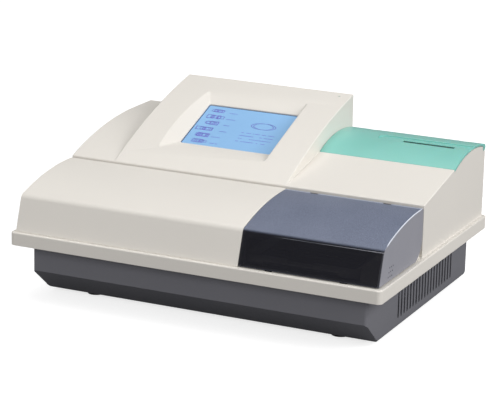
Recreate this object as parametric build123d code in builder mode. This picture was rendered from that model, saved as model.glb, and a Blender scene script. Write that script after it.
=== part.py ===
from build123d import *
from math import cos, degrees, radians, sin, sqrt, tan
import os

# Bench microplate reader: a grey tray, a cream top housing with a sloping
# console, a smoked lid over the plate bay and a hinged cover over a printer.
# Millimetres. X runs to the right, Y to the back, Z up. The origin is on the
# table, under the middle of the rim.

os.makedirs("parts", exist_ok=True)

# Clearances, and how far a cutting form overshoots the face it cuts
press = 0.02            # radial gap of a pressed or bonded fit
running = 0.05          # radial gap of a shaft that turns or slides
gap = 0.3               # gap between curved faces of two moving pieces
seat_gap = 0.5          # gap beside a piece that drops into an opening
over = 1.0

# The case as a whole
width = 450.0
depth = 335.0
foot_height = 5.0
tray_depth = 72.0
wall = 3.0
deck = 3.0
left = -width / 2
right = width / 2
front = -depth / 2
rear = depth / 2

# Grey tray
tray_side_inset = 21.0
tray_front_inset = 15.5
tray_rear_inset = 4.0
tray_bevel_depth = 35.6
tray_bevel_height = 29.1
tray_corner = 4.0
tray_rear_radius = 6.0
tray_bottom = foot_height
tray_floor = tray_bottom + wall
tray_top = tray_bottom + tray_depth
tray_left = left + tray_side_inset
tray_right = right - tray_side_inset
tray_front = front + tray_front_inset
tray_rear = rear - tray_rear_inset

# Vent slots in the right side of the tray
vent_count = 19
vent_width = 4.2
vent_first = 108.5      # first slot, from the front of the rim
vent_last = 274.4       # last slot, from the front of the rim
vent_bottom = 15.3
vent_top = 72.0

# Rubber feet
foot_radius = 11.0
foot_side_inset = 73.0
foot_front_inset = 70.0
foot_rear_inset = 58.0
foot_stud_radius = 3.0
foot_stud_length = 4.0

# Rim of the top housing
rim_height = 15.0
rim_corner = 6.0
rim_round = 1.5
rim_top = tray_top + deck
rim_bottom = rim_top - rim_height

# Body above the rim
body_inset = 5.0
body_rear_inset = 4.0
body_left = left + body_inset
body_right = right - body_inset
body_front = front + body_inset
body_rear = rear - body_rear_inset

# Front profile shared by the fixed optics cover and the smoked lid
cover_wall = 2.5
cover_lean = 17.7       # degrees that the front face leans back
crest_height = 39.9     # crest above the rim
crest_radius = 8.0
cover_back_height = 58.0
cover_crown = 5.3       # rise of the arched top above its chord
seam_from_front = 131.0
groove = 2.5
seam = front + seam_from_front
crest_y = body_front + crest_height * tan(radians(cover_lean))
crest_z = rim_top + crest_height
seam_z = rim_top + cover_back_height

# Split between the optics cover and the lid
lid_from_left = 281.5
lid_gap = 0.5
lid_left = left + lid_from_left
lid_right = body_right
cover_right = lid_left - lid_gap
lid_lift = 1.0          # the lid rests on bumpers this high
lid_corner = 26.0       # rounded rear lower corner of the side panel
lid_barrel = 3.0
lid_knuckle_width = 9.0
lid_knuckle_gap = 0.4
lid_hinges_from_left = (317.0, 404.0)
pin_radius = 1.5
pin_length = 26.0
lid_hinge_y = seam - lid_barrel
lid_hinge_z = seam_z - lid_barrel

# Rear body
rear_front = seam + groove
step_up = 2.0           # the rear body stands this much above the seam
hump_right_from_left = 60.7
hump_height = 87.0
hump_break_from_front = 285.0
hump_crown = 6.8
console_right_from_left = 279.0
console_height = 127.0
console_back_inset = 8.0
console_crown = 6.9
slope_angle = 11.4
slope_end_from_front = 227.5
hump_right = left + hump_right_from_left
console_left = hump_right
console_right = left + console_right_from_left
console_rear = rear - console_back_inset
hump_break = front + hump_break_from_front
slope_end = front + slope_end_from_front
body_shoulder = seam_z + step_up
slope_end_z = body_shoulder + (slope_end - rear_front) * tan(radians(slope_angle))

# Printer cover, an arched shell hinged at the back
shell = 3.0
arch_radius = 152.4
arch_crest_from_front = 288.9
arch_crest_z = 172.0
printer_barrel = 4.0
printer_hinge_inset = 8.0
printer_lug_width = 8.0
printer_lugs_from_right = (30.0, 145.0)
channel_from_left = 331.0
channel_front = 271.0   # from the front of the rim
channel_width = 20.0
channel_depth = 1.6
slot_left_from_left = 362.0
slot_length = 63.0
slot_width = 6.0
slot_inset = 6.5        # from the channel's front edge
arch_y = front + arch_crest_from_front
arch_z = arch_crest_z - arch_radius
printer_hinge_y = rear - printer_hinge_inset
printer_hinge_z = arch_z + sqrt(arch_radius**2 - (printer_hinge_y - arch_y)**2) - printer_barrel
printer_rear_wall_top = printer_hinge_z - printer_barrel - 0.6

# Paper well in the top housing
well_left = right - 110.0
well_right = body_right - 4.0
well_front = slope_end + 4.0
well_rear = printer_hinge_y - 6.0
well_floor = 92.0

# Touch screen in the console
screen_tilt = 20.5
screen_center = (-51.5, 66.9, 171.3)
window_width = 117.0
window_height = 85.0
window_corner = 2.0
recess_left = 14.5      # how far each wall of the recess flares per 10 mm
recess_right = 6.0
recess_bottom = 31.0
recess_top = 29.2
recess_lip = 1.6
touch_thickness = 1.8
lcd_width = 132.0
lcd_height = 98.0
lcd_thickness = 9.0
frame_thickness = 2.0
screen_boss_x = 72.0
screen_boss_y = 45.0
screen_boss_radius = 3.5

# Chassis and plate carriage
chassis_z = 38.0
chassis_thickness = 2.0
chassis_top = chassis_z + chassis_thickness
chassis_left = left + 37.0
chassis_right = tray_right - wall - seat_gap
chassis_front = tray_front + wall + 2.0
chassis_rear = rear_front + 6.0
plate_length = 127.76
plate_width = 85.48
plate_fit = 0.5         # play round the plate in its pocket, each side
carrier_wall = 3.6
carrier_y = front + 70.0
carrier_x = left + 346.5
carrier_travel = 182.5
pocket_depth = 4.5
carrier_z = rim_top + 5.0
carrier_thickness = 6.0
ledge = 6.0             # the plate edge rests on this much of the carrier
rod_radius = 3.0
rod_z = rim_top
bush_radius = 5.0
bush_length = 20.0
block_length = 24.0
block_width = 11.0
block_bottom = rod_z - 5.5
row_pitch = 9.0
row_count = 8
row_span = (row_count - 1) * row_pitch
detector_edge = 3.2     # detector block past its outer rows
detector_clear = 0.8    # between that block and the carrier's feet
rod_spacing = row_span + 2 * (detector_edge + detector_clear) + block_width
pocket_length = plate_length + 2 * plate_fit
pocket_width = plate_width + 2 * plate_fit
carrier_length = pocket_length + 2 * carrier_wall
carrier_width = pocket_width + 2 * carrier_wall
carrier_top = carrier_z + carrier_thickness
pocket_floor = carrier_top - pocket_depth
front_rod_y = carrier_y - rod_spacing / 2
rear_rod_y = carrier_y + rod_spacing / 2

# Lead screw drive
screw_radius = 4.0
screw_y = rear_rod_y + 2.5
screw_z = 58.0
bracket_thickness = 4.0
left_bracket_x = left + 75.0
right_bracket_x = tray_right - wall - seat_gap - bracket_thickness
bracket_front = carrier_y - carrier_width / 2 - 1.5
bracket_rear = seam - 3.0
bracket_top = rod_z + 7.0
motor_side = 35.0
motor_length = 34.0
shaft_radius = 2.5
coupler_radius = 7.0
coupler_length = 20.0
nut_length = 16.0
nut_width = 12.0

# Reading head
read_x = left + 215.0
head_width = 20.0
beam_bottom = 104.0
beam_height = 12.0
post_thickness = 6.0
post_front = carrier_y + carrier_width / 2 + 4.0
lens_radius = 3.0
diode_radius = 2.5
diode_rise = 1.0        # diodes stand this much above their block
detector_top = rim_top

# Lamp and filter wheel
wheel_center = (50.0, 10.0, 60.0)
wheel_radius = 28.0
wheel_thickness = 4.0
filter_circle = 20.0
filter_radius = 5.0
filter_count = 8
guide_radius = 3.0
guide_bend = 18.0
guide_rise = 50.0


def tell(part, name):
    """Names the finished piece and writes it out."""
    part.label = name
    export_step(part, f"parts/{name}.step")


def block(x, y, z):
    """A rectangular solid between pairs of X, Y and Z limits."""
    with BuildPart() as made:
        with BuildSketch(Plane.XY.offset(z[0])):
            with Locations(((x[0] + x[1]) / 2, (y[0] + y[1]) / 2)):
                Rectangle(x[1] - x[0], y[1] - y[0])
        extrude(amount=z[1] - z[0])
    return made.part


def rod(x, y, z, radius):
    """A round bar along X between two X limits."""
    with BuildPart() as made:
        with BuildSketch(Plane.YZ.offset(x[0])):
            with Locations((y, z)):
                Circle(radius)
        extrude(amount=x[1] - x[0])
    return made.part


def front_profile(x, inset=0.0):
    """Side outline of the front cover and lid at one X, or of their hollow."""
    drop = 2 * inset
    toe = (body_front - drop * tan(radians(cover_lean)), rim_top - drop)
    with BuildSketch(Plane.YZ.offset(x)) as outline:
        with BuildLine():
            Line(toe, (crest_y, crest_z))
            SagittaArc((crest_y, crest_z), (seam, seam_z), cover_crown)
            Line((seam, seam_z), (seam, toe[1]))
            Line((seam, toe[1]), toe)
        make_face()
        fillet(outline.vertices().sort_by_distance((crest_y, crest_z))[0], crest_radius)
        if inset:
            offset(amount=-inset, mode=Mode.REPLACE)
    return outline.sketch


def hump_profile(x, inset=0.0):
    """Side outline of the low rounded body at the left rear."""
    foot = rim_top - inset
    with BuildSketch(Plane.YZ.offset(x)) as outline:
        with BuildLine():
            Line((rear_front, foot), (rear_front, body_shoulder))
            SagittaArc((rear_front, body_shoulder), (hump_break, rim_top + hump_height), hump_crown)
            Line((hump_break, rim_top + hump_height), (body_rear, rim_top + hump_height))
            Line((body_rear, rim_top + hump_height), (body_rear, foot))
            Line((body_rear, foot), (rear_front, foot))
        make_face()
        if inset:
            offset(amount=-inset, mode=Mode.REPLACE)
    return outline.sketch


def console_profile(x, inset=0.0):
    """Side outline of the console that holds the screen."""
    foot = rim_top - inset
    ridge = (console_rear, rim_top + console_height)
    with BuildSketch(Plane.YZ.offset(x)) as outline:
        with BuildLine():
            Line((rear_front, foot), (rear_front, body_shoulder))
            SagittaArc((rear_front, body_shoulder), ridge, console_crown)
            Line(ridge, (console_rear, foot))
            Line((console_rear, foot), (rear_front, foot))
        make_face()
        if inset:
            offset(amount=-inset, mode=Mode.REPLACE)
    return outline.sketch


def arch_point(y, drop=0.0):
    """Point on the printer cover's arch, or this far under it."""
    return (y, arch_z + sqrt((arch_radius - drop)**2 - (y - arch_y)**2))


def slope_profile(x, inset=0.0):
    """Side outline of the printer end of the housing, under its cover."""
    foot = rim_top - inset
    under = shell + gap
    with BuildSketch(Plane.YZ.offset(x)) as outline:
        with BuildLine():
            Line((rear_front, foot), (rear_front, body_shoulder))
            Line((rear_front, body_shoulder), (slope_end - gap, slope_end_z))
            Line((slope_end - gap, slope_end_z), arch_point(slope_end - gap, under))
            ThreePointArc(
                arch_point(slope_end - gap, under),
                arch_point(arch_y, under),
                arch_point(body_rear, under),
            )
            Line(arch_point(body_rear, under), (body_rear, foot))
            Line((body_rear, foot), (rear_front, foot))
        make_face()
        if inset:
            offset(amount=-inset, mode=Mode.REPLACE)
    return outline.sketch


# Screws that hold the tray to the top housing
case_screw_radius = 2.0
case_screw_head = 3.75
case_screw_head_height = 3.0
case_screw_length = 20.0
case_boss = 7.0
housing_boss = 5.0
boss_joint_z = 60.0
boss_web = 8.0
case_screws_at = (
    (tray_left + 8.5, tray_front + 60.0),
    (tray_left + 14.0, tray_rear - 13.5),
    (tray_right - 14.0, tray_rear - 13.5),
    (tray_right - 14.0, rear_front + 14.5),
)

# Power lamp in the top right corner of the console
led_x = left + 265.2
led_y = front + 316.1
led_radius = 1.2
led_top = 205.2
led_length = 9.0

# Hinge lugs of the printer cover
printer_lugs_at = [right - x for x in printer_lugs_from_right]

# Openings in the deck, for the carriage in front and the works behind
bay_opening_left = left + 35.0
bay_opening_right = tray_right - wall + 1.0
bay_opening_front = tray_front + wall + 1.5
bay_opening_rear = seam - 2.0
rear_opening_side = 27.0
rear_opening_front = rear_front + 20.0
rear_opening_rear = body_rear - 22.0
guide_port = 30.0       # half width of the port for the light guide
guide_port_bottom = 96.0
guide_port_top = 126.0

screen_plane = Plane(
    origin=screen_center,
    x_dir=(1, 0, 0),
    z_dir=(0, -sin(radians(screen_tilt)), cos(radians(screen_tilt))),
)

# Form of the display recess, flared from the window to above the face
with BuildPart() as recess:
    recess_rise = 14.0
    spread = recess_rise / 10.0
    mouth_width = window_width + spread * (recess_left + recess_right)
    mouth_height = window_height + spread * (recess_bottom + recess_top)
    shift_x = spread * (recess_right - recess_left) / 2
    shift_y = spread * (recess_top - recess_bottom) / 2
    with BuildSketch(screen_plane):
        RectangleRounded(window_width, window_height, window_corner)
    with BuildSketch(screen_plane.offset(recess_rise)):
        with Locations((shift_x, shift_y)):
            RectangleRounded(mouth_width, mouth_height, window_corner * 2)
    loft()
    with BuildSketch(screen_plane.offset(-recess_lip - over)):
        RectangleRounded(window_width, window_height, window_corner)
    extrude(amount=recess_lip + over)

# Hollow of the console, with the thick face left round the display
with BuildPart() as console_hollow:
    extrude(
        console_profile(console_left + wall, wall),
        amount=console_right - console_left - 2 * wall,
    )
    with BuildSketch(screen_plane.offset(-recess_lip)):
        with Locations((0, -3)):
            Rectangle(window_width + 46, window_height + 84)
    extrude(amount=30, mode=Mode.SUBTRACT)

# Hollow of the printer end, with the paper well left standing in it
with BuildPart() as slope_hollow:
    extrude(slope_profile(console_right - wall, wall), amount=body_right - console_right)
    well_box = block(
        (well_left - wall, body_right),
        (well_front - wall, body_rear),
        (well_floor - wall, arch_crest_z + over),
    )
    hinge_box = block(
        (console_right - wall, body_right),
        (well_rear, body_rear),
        (printer_rear_wall_top - wall, arch_crest_z + over),
    )
    add(well_box, mode=Mode.SUBTRACT)
    add(hinge_box, mode=Mode.SUBTRACT)

# Top housing: the rim all round, the deck, and the rear body in three forms
with BuildPart() as top_housing:
    with BuildSketch(Plane.XY.offset(rim_bottom)):
        RectangleRounded(width, depth, rim_corner)
    extrude(amount=rim_height)
    fillet(top_housing.faces().sort_by(Axis.Z)[-1].edges(), rim_round)
    with BuildSketch(Plane.XY.offset(rim_bottom)):
        RectangleRounded(width - 2 * wall, depth - 2 * wall, rim_corner - wall)
    extrude(amount=rim_height - deck, mode=Mode.SUBTRACT)
    extrude(hump_profile(body_left), amount=console_left - body_left + 2 * wall)
    extrude(console_profile(console_left), amount=console_right - console_left)
    extrude(
        slope_profile(console_right - 2 * wall),
        amount=body_right - console_right + 2 * wall,
    )
    # Hollows
    extrude(
        hump_profile(body_left + wall, wall),
        amount=console_left - body_left,
        mode=Mode.SUBTRACT,
    )
    add(console_hollow.part, mode=Mode.SUBTRACT)
    add(slope_hollow.part, mode=Mode.SUBTRACT)
    add(recess.part, mode=Mode.SUBTRACT)
    # Paper well, open at the top, and the round seat of the cover's hinge
    add(
        block(
            (well_left, well_right),
            (well_front, well_rear),
            (well_floor, arch_crest_z + over),
        ),
        mode=Mode.SUBTRACT,
    )
    add(
        rod(
            (console_right, body_right + over),
            printer_hinge_y,
            printer_hinge_z,
            printer_barrel + 2 * gap,
        ),
        mode=Mode.SUBTRACT,
    )
    add(
        block(
            (console_right, body_right + over),
            (printer_hinge_y, rear),
            (printer_rear_wall_top, arch_crest_z),
        ),
        mode=Mode.SUBTRACT,
    )
    # Lugs for the pins of the printer cover
    for lug_x in printer_lugs_at:
        side = (lug_x - printer_lug_width / 2, lug_x + printer_lug_width / 2)
        add(rod(side, printer_hinge_y, printer_hinge_z, printer_barrel - gap))
        add(
            block(
                side,
                (printer_hinge_y - 2, body_rear),
                (printer_rear_wall_top - 8, printer_hinge_z),
            )
        )
        add(
            rod(side, printer_hinge_y, printer_hinge_z, pin_radius + press),
            mode=Mode.SUBTRACT,
        )
    # Hole for the power lamp
    with BuildSketch(Plane.XY.offset(led_top)):
        with Locations((led_x, led_y)):
            Circle(led_radius + press)
    extrude(amount=-led_length, mode=Mode.SUBTRACT)
    # Openings in the deck, and the port for the light guide
    add(
        block(
            (bay_opening_left, bay_opening_right),
            (bay_opening_front, bay_opening_rear),
            (tray_top - over, rim_top + over),
        ),
        mode=Mode.SUBTRACT,
    )
    add(
        block(
            (left + rear_opening_side, right - rear_opening_side),
            (rear_opening_front, rear_opening_rear),
            (tray_top - over, rim_top + over),
        ),
        mode=Mode.SUBTRACT,
    )
    add(
        block(
            (read_x - guide_port, read_x + guide_port),
            (rear_front - over, rear_front + wall + over),
            (guide_port_bottom, guide_port_top),
        ),
        mode=Mode.SUBTRACT,
    )
    # Screw bosses that meet the tray's own bosses
    with BuildSketch(Plane.XY.offset(boss_joint_z)):
        with Locations(*case_screws_at):
            Circle(housing_boss)
    extrude(amount=tray_top - boss_joint_z)
    with BuildSketch(Plane.XY.offset(boss_joint_z)):
        with Locations(*case_screws_at):
            Circle(case_screw_radius + press)
    extrude(amount=case_screw_length - boss_web + over, mode=Mode.SUBTRACT)
    # Bosses behind the display
    with BuildSketch(screen_plane.offset(-recess_lip)):
        with GridLocations(2 * screen_boss_x, 2 * screen_boss_y, 2, 2):
            Circle(screen_boss_radius)
    extrude(amount=-touch_thickness - lcd_thickness)
tell(top_housing.part, "top_housing")

# Tray: an open grey box with a bevelled front edge
standoff_radius = 3.5
standoff_height = 8.0
chassis_posts_at = [
    (x, y)
    for x in (chassis_left + 10, (chassis_left + chassis_right) / 2, chassis_right - 26)
    for y in (carrier_y - 8, chassis_rear - 5)
]
chassis_post_radius = 5.0
chassis_screw_radius = 1.5
board_left = tray_left + 24.0
board_right = left + 260.0
board_front = rear - 92.0
board_rear = rear - 12.0
board_z = tray_floor + standoff_height
board_thickness = 1.6
supply_left = left + 285.0
supply_right = left + 395.0
supply_front = rear - 104.0
supply_rear = rear - 30.0
panel_half = 150.0
panel_bottom = 14.0
panel_top = 58.0
panel_overlap = 5.0
panel_thickness = 1.5
board_posts_at = [
    (x, y)
    for x in (board_left + 6, (board_left + board_right) / 2, board_right - 6)
    for y in (board_front + 6, board_rear - 6)
]
supply_posts_at = [
    (x, y)
    for x in (supply_left + 6, supply_right - 6)
    for y in (supply_front + 6, supply_rear - 6)
]
feet_at = [
    (x, y)
    for x in (left + foot_side_inset, right - foot_side_inset)
    for y in (front + foot_front_inset, rear - foot_rear_inset)
]


def tray_profile(x, inset=0.0):
    """Side outline of the tray, bevelled at the lower front edge."""
    top = tray_top + inset
    with BuildSketch(Plane.YZ.offset(x)) as outline:
        with BuildLine():
            Polyline(
                (tray_front, top),
                (tray_front, tray_bottom + tray_bevel_height),
                (tray_front + tray_bevel_depth, tray_bottom),
                (tray_rear, tray_bottom),
                (tray_rear, top),
                (tray_front, top),
            )
        make_face()
        low = outline.vertices().sort_by_distance((tray_rear, tray_bottom))[0]
        fillet(low, tray_rear_radius)
        if inset:
            offset(amount=-inset, mode=Mode.REPLACE)
    return outline.sketch


with BuildPart() as base_tray:
    extrude(tray_profile(tray_left), amount=tray_right - tray_left)
    fillet(
        base_tray.edges().filter_by(Axis.Z).group_by(Axis.Y)[0]
        + base_tray.edges().filter_by(Axis.Z).group_by(Axis.Y)[-1],
        tray_corner,
    )
    extrude(
        tray_profile(tray_left + wall, wall),
        amount=tray_right - tray_left - 2 * wall,
        mode=Mode.SUBTRACT,
    )
    # Posts under the chassis, the circuit boards and the case screws
    with BuildSketch(Plane.XY.offset(tray_floor - over)):
        with Locations(*chassis_posts_at):
            Circle(chassis_post_radius)
    extrude(amount=chassis_z - tray_floor + over)
    with BuildSketch(Plane.XY.offset(tray_floor - over)):
        with Locations(*board_posts_at, *supply_posts_at):
            Circle(standoff_radius)
    extrude(amount=standoff_height + over)
    with BuildSketch(Plane.XY.offset(tray_floor - over)):
        with Locations(*case_screws_at):
            Circle(case_boss)
    extrude(amount=boss_joint_z - tray_floor + over)
    # Holes in the posts, and the deep counterbores of the case screws
    with BuildSketch(Plane.XY.offset(chassis_z)):
        with Locations(*chassis_posts_at):
            Circle(chassis_screw_radius + press)
    extrude(amount=-14, mode=Mode.SUBTRACT)
    with BuildSketch(Plane.XY.offset(tray_bottom - over)):
        with Locations(*case_screws_at):
            Circle(case_screw_head + gap)
    extrude(amount=boss_joint_z - boss_web - tray_bottom + over, mode=Mode.SUBTRACT)
    with BuildSketch(Plane.XY.offset(boss_joint_z)):
        with Locations(*case_screws_at):
            Circle(case_screw_radius + gap)
    extrude(amount=-boss_web, mode=Mode.SUBTRACT)
    # Stud holes of the feet
    with BuildSketch(Plane.XY.offset(tray_bottom)):
        with Locations(*feet_at):
            Circle(foot_stud_radius + press)
    extrude(amount=wall, mode=Mode.SUBTRACT)
    # Vent slots in the right side
    vent_pitch = (vent_last - vent_first) / (vent_count - 1)
    with BuildSketch(Plane.YZ.offset(tray_right - wall - over)):
        with Locations((front + (vent_first + vent_last) / 2, (vent_bottom + vent_top) / 2)):
            with GridLocations(vent_pitch, vent_top, vent_count, 1):
                SlotOverall(vent_top - vent_bottom, vent_width, rotation=90)
    extrude(amount=wall + 2 * over, mode=Mode.SUBTRACT)
    # Window for the connector panel in the back
    with BuildSketch(Plane.XZ.offset(-tray_rear - over)):
        with Locations((0, (panel_bottom + panel_top) / 2)):
            RectangleRounded(
                2 * (panel_half - panel_overlap),
                panel_top - panel_bottom - 2 * panel_overlap,
                3,
            )
    extrude(amount=wall + 2 * over, mode=Mode.SUBTRACT)
tell(base_tray.part, "base_tray")

with BuildPart() as rubber_feet:
    with BuildSketch(Plane.XY):
        with Locations(*feet_at):
            Circle(foot_radius - 1)
    extrude(amount=foot_height, taper=-degrees(1 / foot_height))
    with BuildSketch(Plane.XY.offset(foot_height)):
        with Locations(*feet_at):
            Circle(foot_stud_radius)
    extrude(amount=foot_stud_length)
tell(rubber_feet.part, "rubber_feet")

with BuildPart() as case_screws:
    with BuildSketch(Plane.XY.offset(boss_joint_z - boss_web - case_screw_head_height)):
        with Locations(*case_screws_at):
            Circle(case_screw_head)
    extrude(amount=case_screw_head_height)
    with BuildSketch(Plane.XY.offset(boss_joint_z - boss_web)):
        with Locations(*case_screws_at):
            Circle(case_screw_radius)
    extrude(amount=case_screw_length)
tell(case_screws.part, "case_screws")

# Optics cover: the cream front half, fixed over the reading head
passage_front = carrier_y - carrier_width / 2 - 2.0
passage_rear = carrier_y + carrier_width / 2 + 2.0
passage_top = beam_bottom + 2.0
with BuildPart() as optics_cover:
    extrude(front_profile(body_left), amount=cover_right - body_left)
    extrude(
        front_profile(body_left + cover_wall, cover_wall),
        amount=cover_right - body_left - 2 * cover_wall,
        mode=Mode.SUBTRACT,
    )
    add(
        block(
            (cover_right - cover_wall - over, cover_right + over),
            (passage_front, passage_rear),
            (rim_top - over, passage_top),
        ),
        mode=Mode.SUBTRACT,
    )
    add(
        block(
            (read_x - guide_port, read_x + guide_port),
            (seam - cover_wall - over, seam + over),
            (rim_top - over, guide_port_top),
        ),
        mode=Mode.SUBTRACT,
    )
tell(optics_cover.part, "optics_cover")

# Smoked lid, turning on two short pins in a barrel along its back edge
lid_hinges_at = [left + x for x in lid_hinges_from_left]
hole_pitch = 5.0
hole_radius = 0.9
hole_first_y = front + 31.3
hole_first_z = 86.1
lid_bottom = rim_top + lid_lift
with BuildPart() as lid:
    extrude(front_profile(lid_left), amount=lid_right - lid_left)
    extrude(
        front_profile(lid_left + cover_wall, cover_wall),
        amount=lid_right - lid_left - 2 * cover_wall,
        mode=Mode.SUBTRACT,
    )
    # The back is open under the barrel
    add(
        block(
            (lid_left + cover_wall, lid_right - cover_wall),
            (seam - 2 * cover_wall, seam + over),
            (rim_top - over, seam_z - cover_wall),
        ),
        mode=Mode.SUBTRACT,
    )
    add(
        block(
            (lid_left - over, lid_right + over),
            (body_front - over, seam + over),
            (rim_top - over, lid_bottom),
        ),
        mode=Mode.SUBTRACT,
    )
    # The plate carrier passes under the left side
    add(
        block(
            (lid_left - over, lid_left + cover_wall + over),
            (passage_front, seam + over),
            (rim_top - over, passage_top),
        ),
        mode=Mode.SUBTRACT,
    )
    # Rounded rear lower corner of the right side
    with BuildSketch(Plane.YZ.offset(lid_right - cover_wall - over)):
        with Locations((seam - lid_corner / 2, rim_top + lid_corner / 2)):
            Rectangle(lid_corner + 2 * over, lid_corner + 2 * over)
        with Locations((seam - lid_corner, rim_top + lid_corner)):
            Circle(lid_corner, mode=Mode.SUBTRACT)
    extrude(amount=cover_wall + 2 * over, mode=Mode.SUBTRACT)
    # Barrel and its square back corner rounded off
    add(
        block(
            (lid_left - over, lid_right + over),
            (lid_hinge_y, seam + over),
            (lid_hinge_z - over, seam_z + over),
        ),
        mode=Mode.SUBTRACT,
    )
    add(rod((lid_left, lid_right), lid_hinge_y, lid_hinge_z, lid_barrel))
    # Notches for the fixed knuckles, and the pin bores
    for hinge_x in lid_hinges_at:
        half = lid_knuckle_width / 2 + lid_knuckle_gap
        add(
            block(
                (hinge_x - half, hinge_x + half),
                (lid_hinge_y - lid_barrel - lid_knuckle_gap, seam + over),
                (lid_hinge_z - lid_barrel - over, seam_z + over),
            ),
            mode=Mode.SUBTRACT,
        )
        add(
            rod(
                (hinge_x - pin_length / 2 - gap, hinge_x + pin_length / 2 + gap),
                lid_hinge_y,
                lid_hinge_z,
                pin_radius + running,
            ),
            mode=Mode.SUBTRACT,
        )
    # Three rows of small holes in the right side, leaning with the front face
    with BuildSketch(Plane.YZ.offset(lid_right - cover_wall - over)):
        for row in range(3):
            lean = row * hole_pitch * tan(radians(cover_lean))
            for column in range(3):
                with Locations(
                    (
                        hole_first_y + lean + column * hole_pitch,
                        hole_first_z + row * hole_pitch,
                    )
                ):
                    Circle(hole_radius)
    extrude(amount=cover_wall + 2 * over, mode=Mode.SUBTRACT)
tell(lid.part, "lid")

# Fixed hinge brackets screwed to the front wall of the rear body
bracket_foot = 2.0
with BuildPart() as lid_hinge_brackets:
    for hinge_x in lid_hinges_at:
        side = (hinge_x - lid_knuckle_width / 2, hinge_x + lid_knuckle_width / 2)
        add(rod(side, lid_hinge_y, lid_hinge_z, lid_barrel - gap))
        add(
            block(
                side,
                (lid_hinge_y, rear_front),
                (lid_hinge_z - lid_barrel, lid_hinge_z - gap),
            )
        )
        add(block(side, (rear_front - bracket_foot, rear_front), (112.0, lid_hinge_z - gap)))
        add(
            rod(side, lid_hinge_y, lid_hinge_z, pin_radius + press),
            mode=Mode.SUBTRACT,
        )
tell(lid_hinge_brackets.part, "lid_hinge_brackets")

with BuildPart() as lid_hinge_pins:
    for hinge_x in lid_hinges_at:
        add(
            rod(
                (hinge_x - pin_length / 2, hinge_x + pin_length / 2),
                lid_hinge_y,
                lid_hinge_z,
                pin_radius,
            )
        )
tell(lid_hinge_pins.part, "lid_hinge_pins")

with BuildPart() as lid_bumpers:
    for hinge_x in lid_hinges_at:
        add(
            block(
                (hinge_x - 4, hinge_x + 4),
                (body_front + 0.6, body_front + 2.6),
                (rim_top, lid_bottom),
            )
        )
tell(lid_bumpers.part, "lid_bumpers")

# Bay liner: a black trough hung in the deck under the lid
liner_left = cover_right + 1.0
liner_right = right_bracket_x - 3.5
liner_floor = block_bottom - 4.5
liner_wall = 2.0
liner_flange = 1.0
flange_reach = 3.0
cheek_left = right_bracket_x - 3.0
cheek_right = lid_right - cover_wall - seat_gap
cheek_front = bay_opening_front - 2.3
cheek_rear = rear_front - 1.5
cheek_height = 28.0
cheek_corner = 20.0
nut_slot = nut_width / 2 + 1.5
with BuildPart() as bay_liner:
    trough_front = bay_opening_front + seat_gap
    trough_rear = bay_opening_rear - seat_gap
    add(
        block(
            (liner_left, liner_right),
            (trough_front, trough_rear),
            (liner_floor - liner_wall, rim_top),
        )
    )
    add(
        block(
            (liner_left - over, liner_right - liner_wall),
            (trough_front + liner_wall, trough_rear - liner_wall),
            (liner_floor, rim_top + over),
        ),
        mode=Mode.SUBTRACT,
    )
    add(
        block(
            (liner_left, liner_right),
            (trough_front - flange_reach, trough_front + liner_wall),
            (rim_top, rim_top + liner_flange),
        )
    )
    add(
        block(
            (liner_left, liner_right),
            (trough_rear - liner_wall, trough_rear + flange_reach),
            (rim_top, rim_top + liner_flange),
        )
    )
    # Slot for the drive nut, and notches for the guide rods
    add(
        block(
            (liner_left - over, liner_right - liner_wall),
            (screw_y - nut_slot, screw_y + nut_slot),
            (liner_floor - liner_wall - over, liner_floor + over),
        ),
        mode=Mode.SUBTRACT,
    )
    for rod_y in (front_rod_y, rear_rod_y):
        add(
            block(
                (liner_right - liner_wall - over, liner_right + over),
                (rod_y - rod_radius - 1, rod_y + rod_radius + 1),
                (rod_z - rod_radius - 1, rim_top + over),
            ),
            mode=Mode.SUBTRACT,
        )
tell(bay_liner.part, "bay_liner")

# Cream hood over the ends of the rods at the right of the bay
def hood_profile(inset=0.0):
    """Front outline of the hood, with one large rounded shoulder."""
    foot = rim_top - 2 * inset
    head = rim_top + cheek_height
    with BuildSketch(Plane.XZ.offset(inset - cheek_rear)) as outline:
        with BuildLine():
            Polyline(
                (cheek_left, foot),
                (cheek_left, head),
                (cheek_right, head),
                (cheek_right, foot),
                (cheek_left, foot),
            )
        make_face()
        fillet(outline.vertices().sort_by_distance((cheek_left, head))[0], cheek_corner)
        if inset:
            offset(amount=-inset, mode=Mode.REPLACE)
    return outline.sketch


with BuildPart() as bay_end_cover:
    extrude(hood_profile(), amount=cheek_rear - cheek_front)
    extrude(
        hood_profile(liner_wall),
        amount=cheek_rear - cheek_front - 2 * liner_wall,
        mode=Mode.SUBTRACT,
    )
    for rod_y in (front_rod_y, rear_rod_y):
        add(
            block(
                (cheek_left - over, cheek_left + liner_wall + over),
                (rod_y - rod_radius - 1, rod_y + rod_radius + 1),
                (rim_top - over, rod_z + rod_radius + 1),
            ),
            mode=Mode.SUBTRACT,
        )
tell(bay_end_cover.part, "bay_end_cover")

# Chassis plate and the two uprights that carry the rods and the screw
with BuildPart() as chassis_plate:
    add(
        block(
            (chassis_left, chassis_right),
            (chassis_front, chassis_rear),
            (chassis_z, chassis_top),
        )
    )
    fillet(chassis_plate.edges().filter_by(Axis.Z), 4)
    with BuildSketch(Plane.XY.offset(chassis_top)):
        with Locations(*chassis_posts_at):
            Circle(chassis_screw_radius + press)
    extrude(amount=-chassis_thickness, mode=Mode.SUBTRACT)
tell(chassis_plate.part, "chassis_plate")

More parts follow.
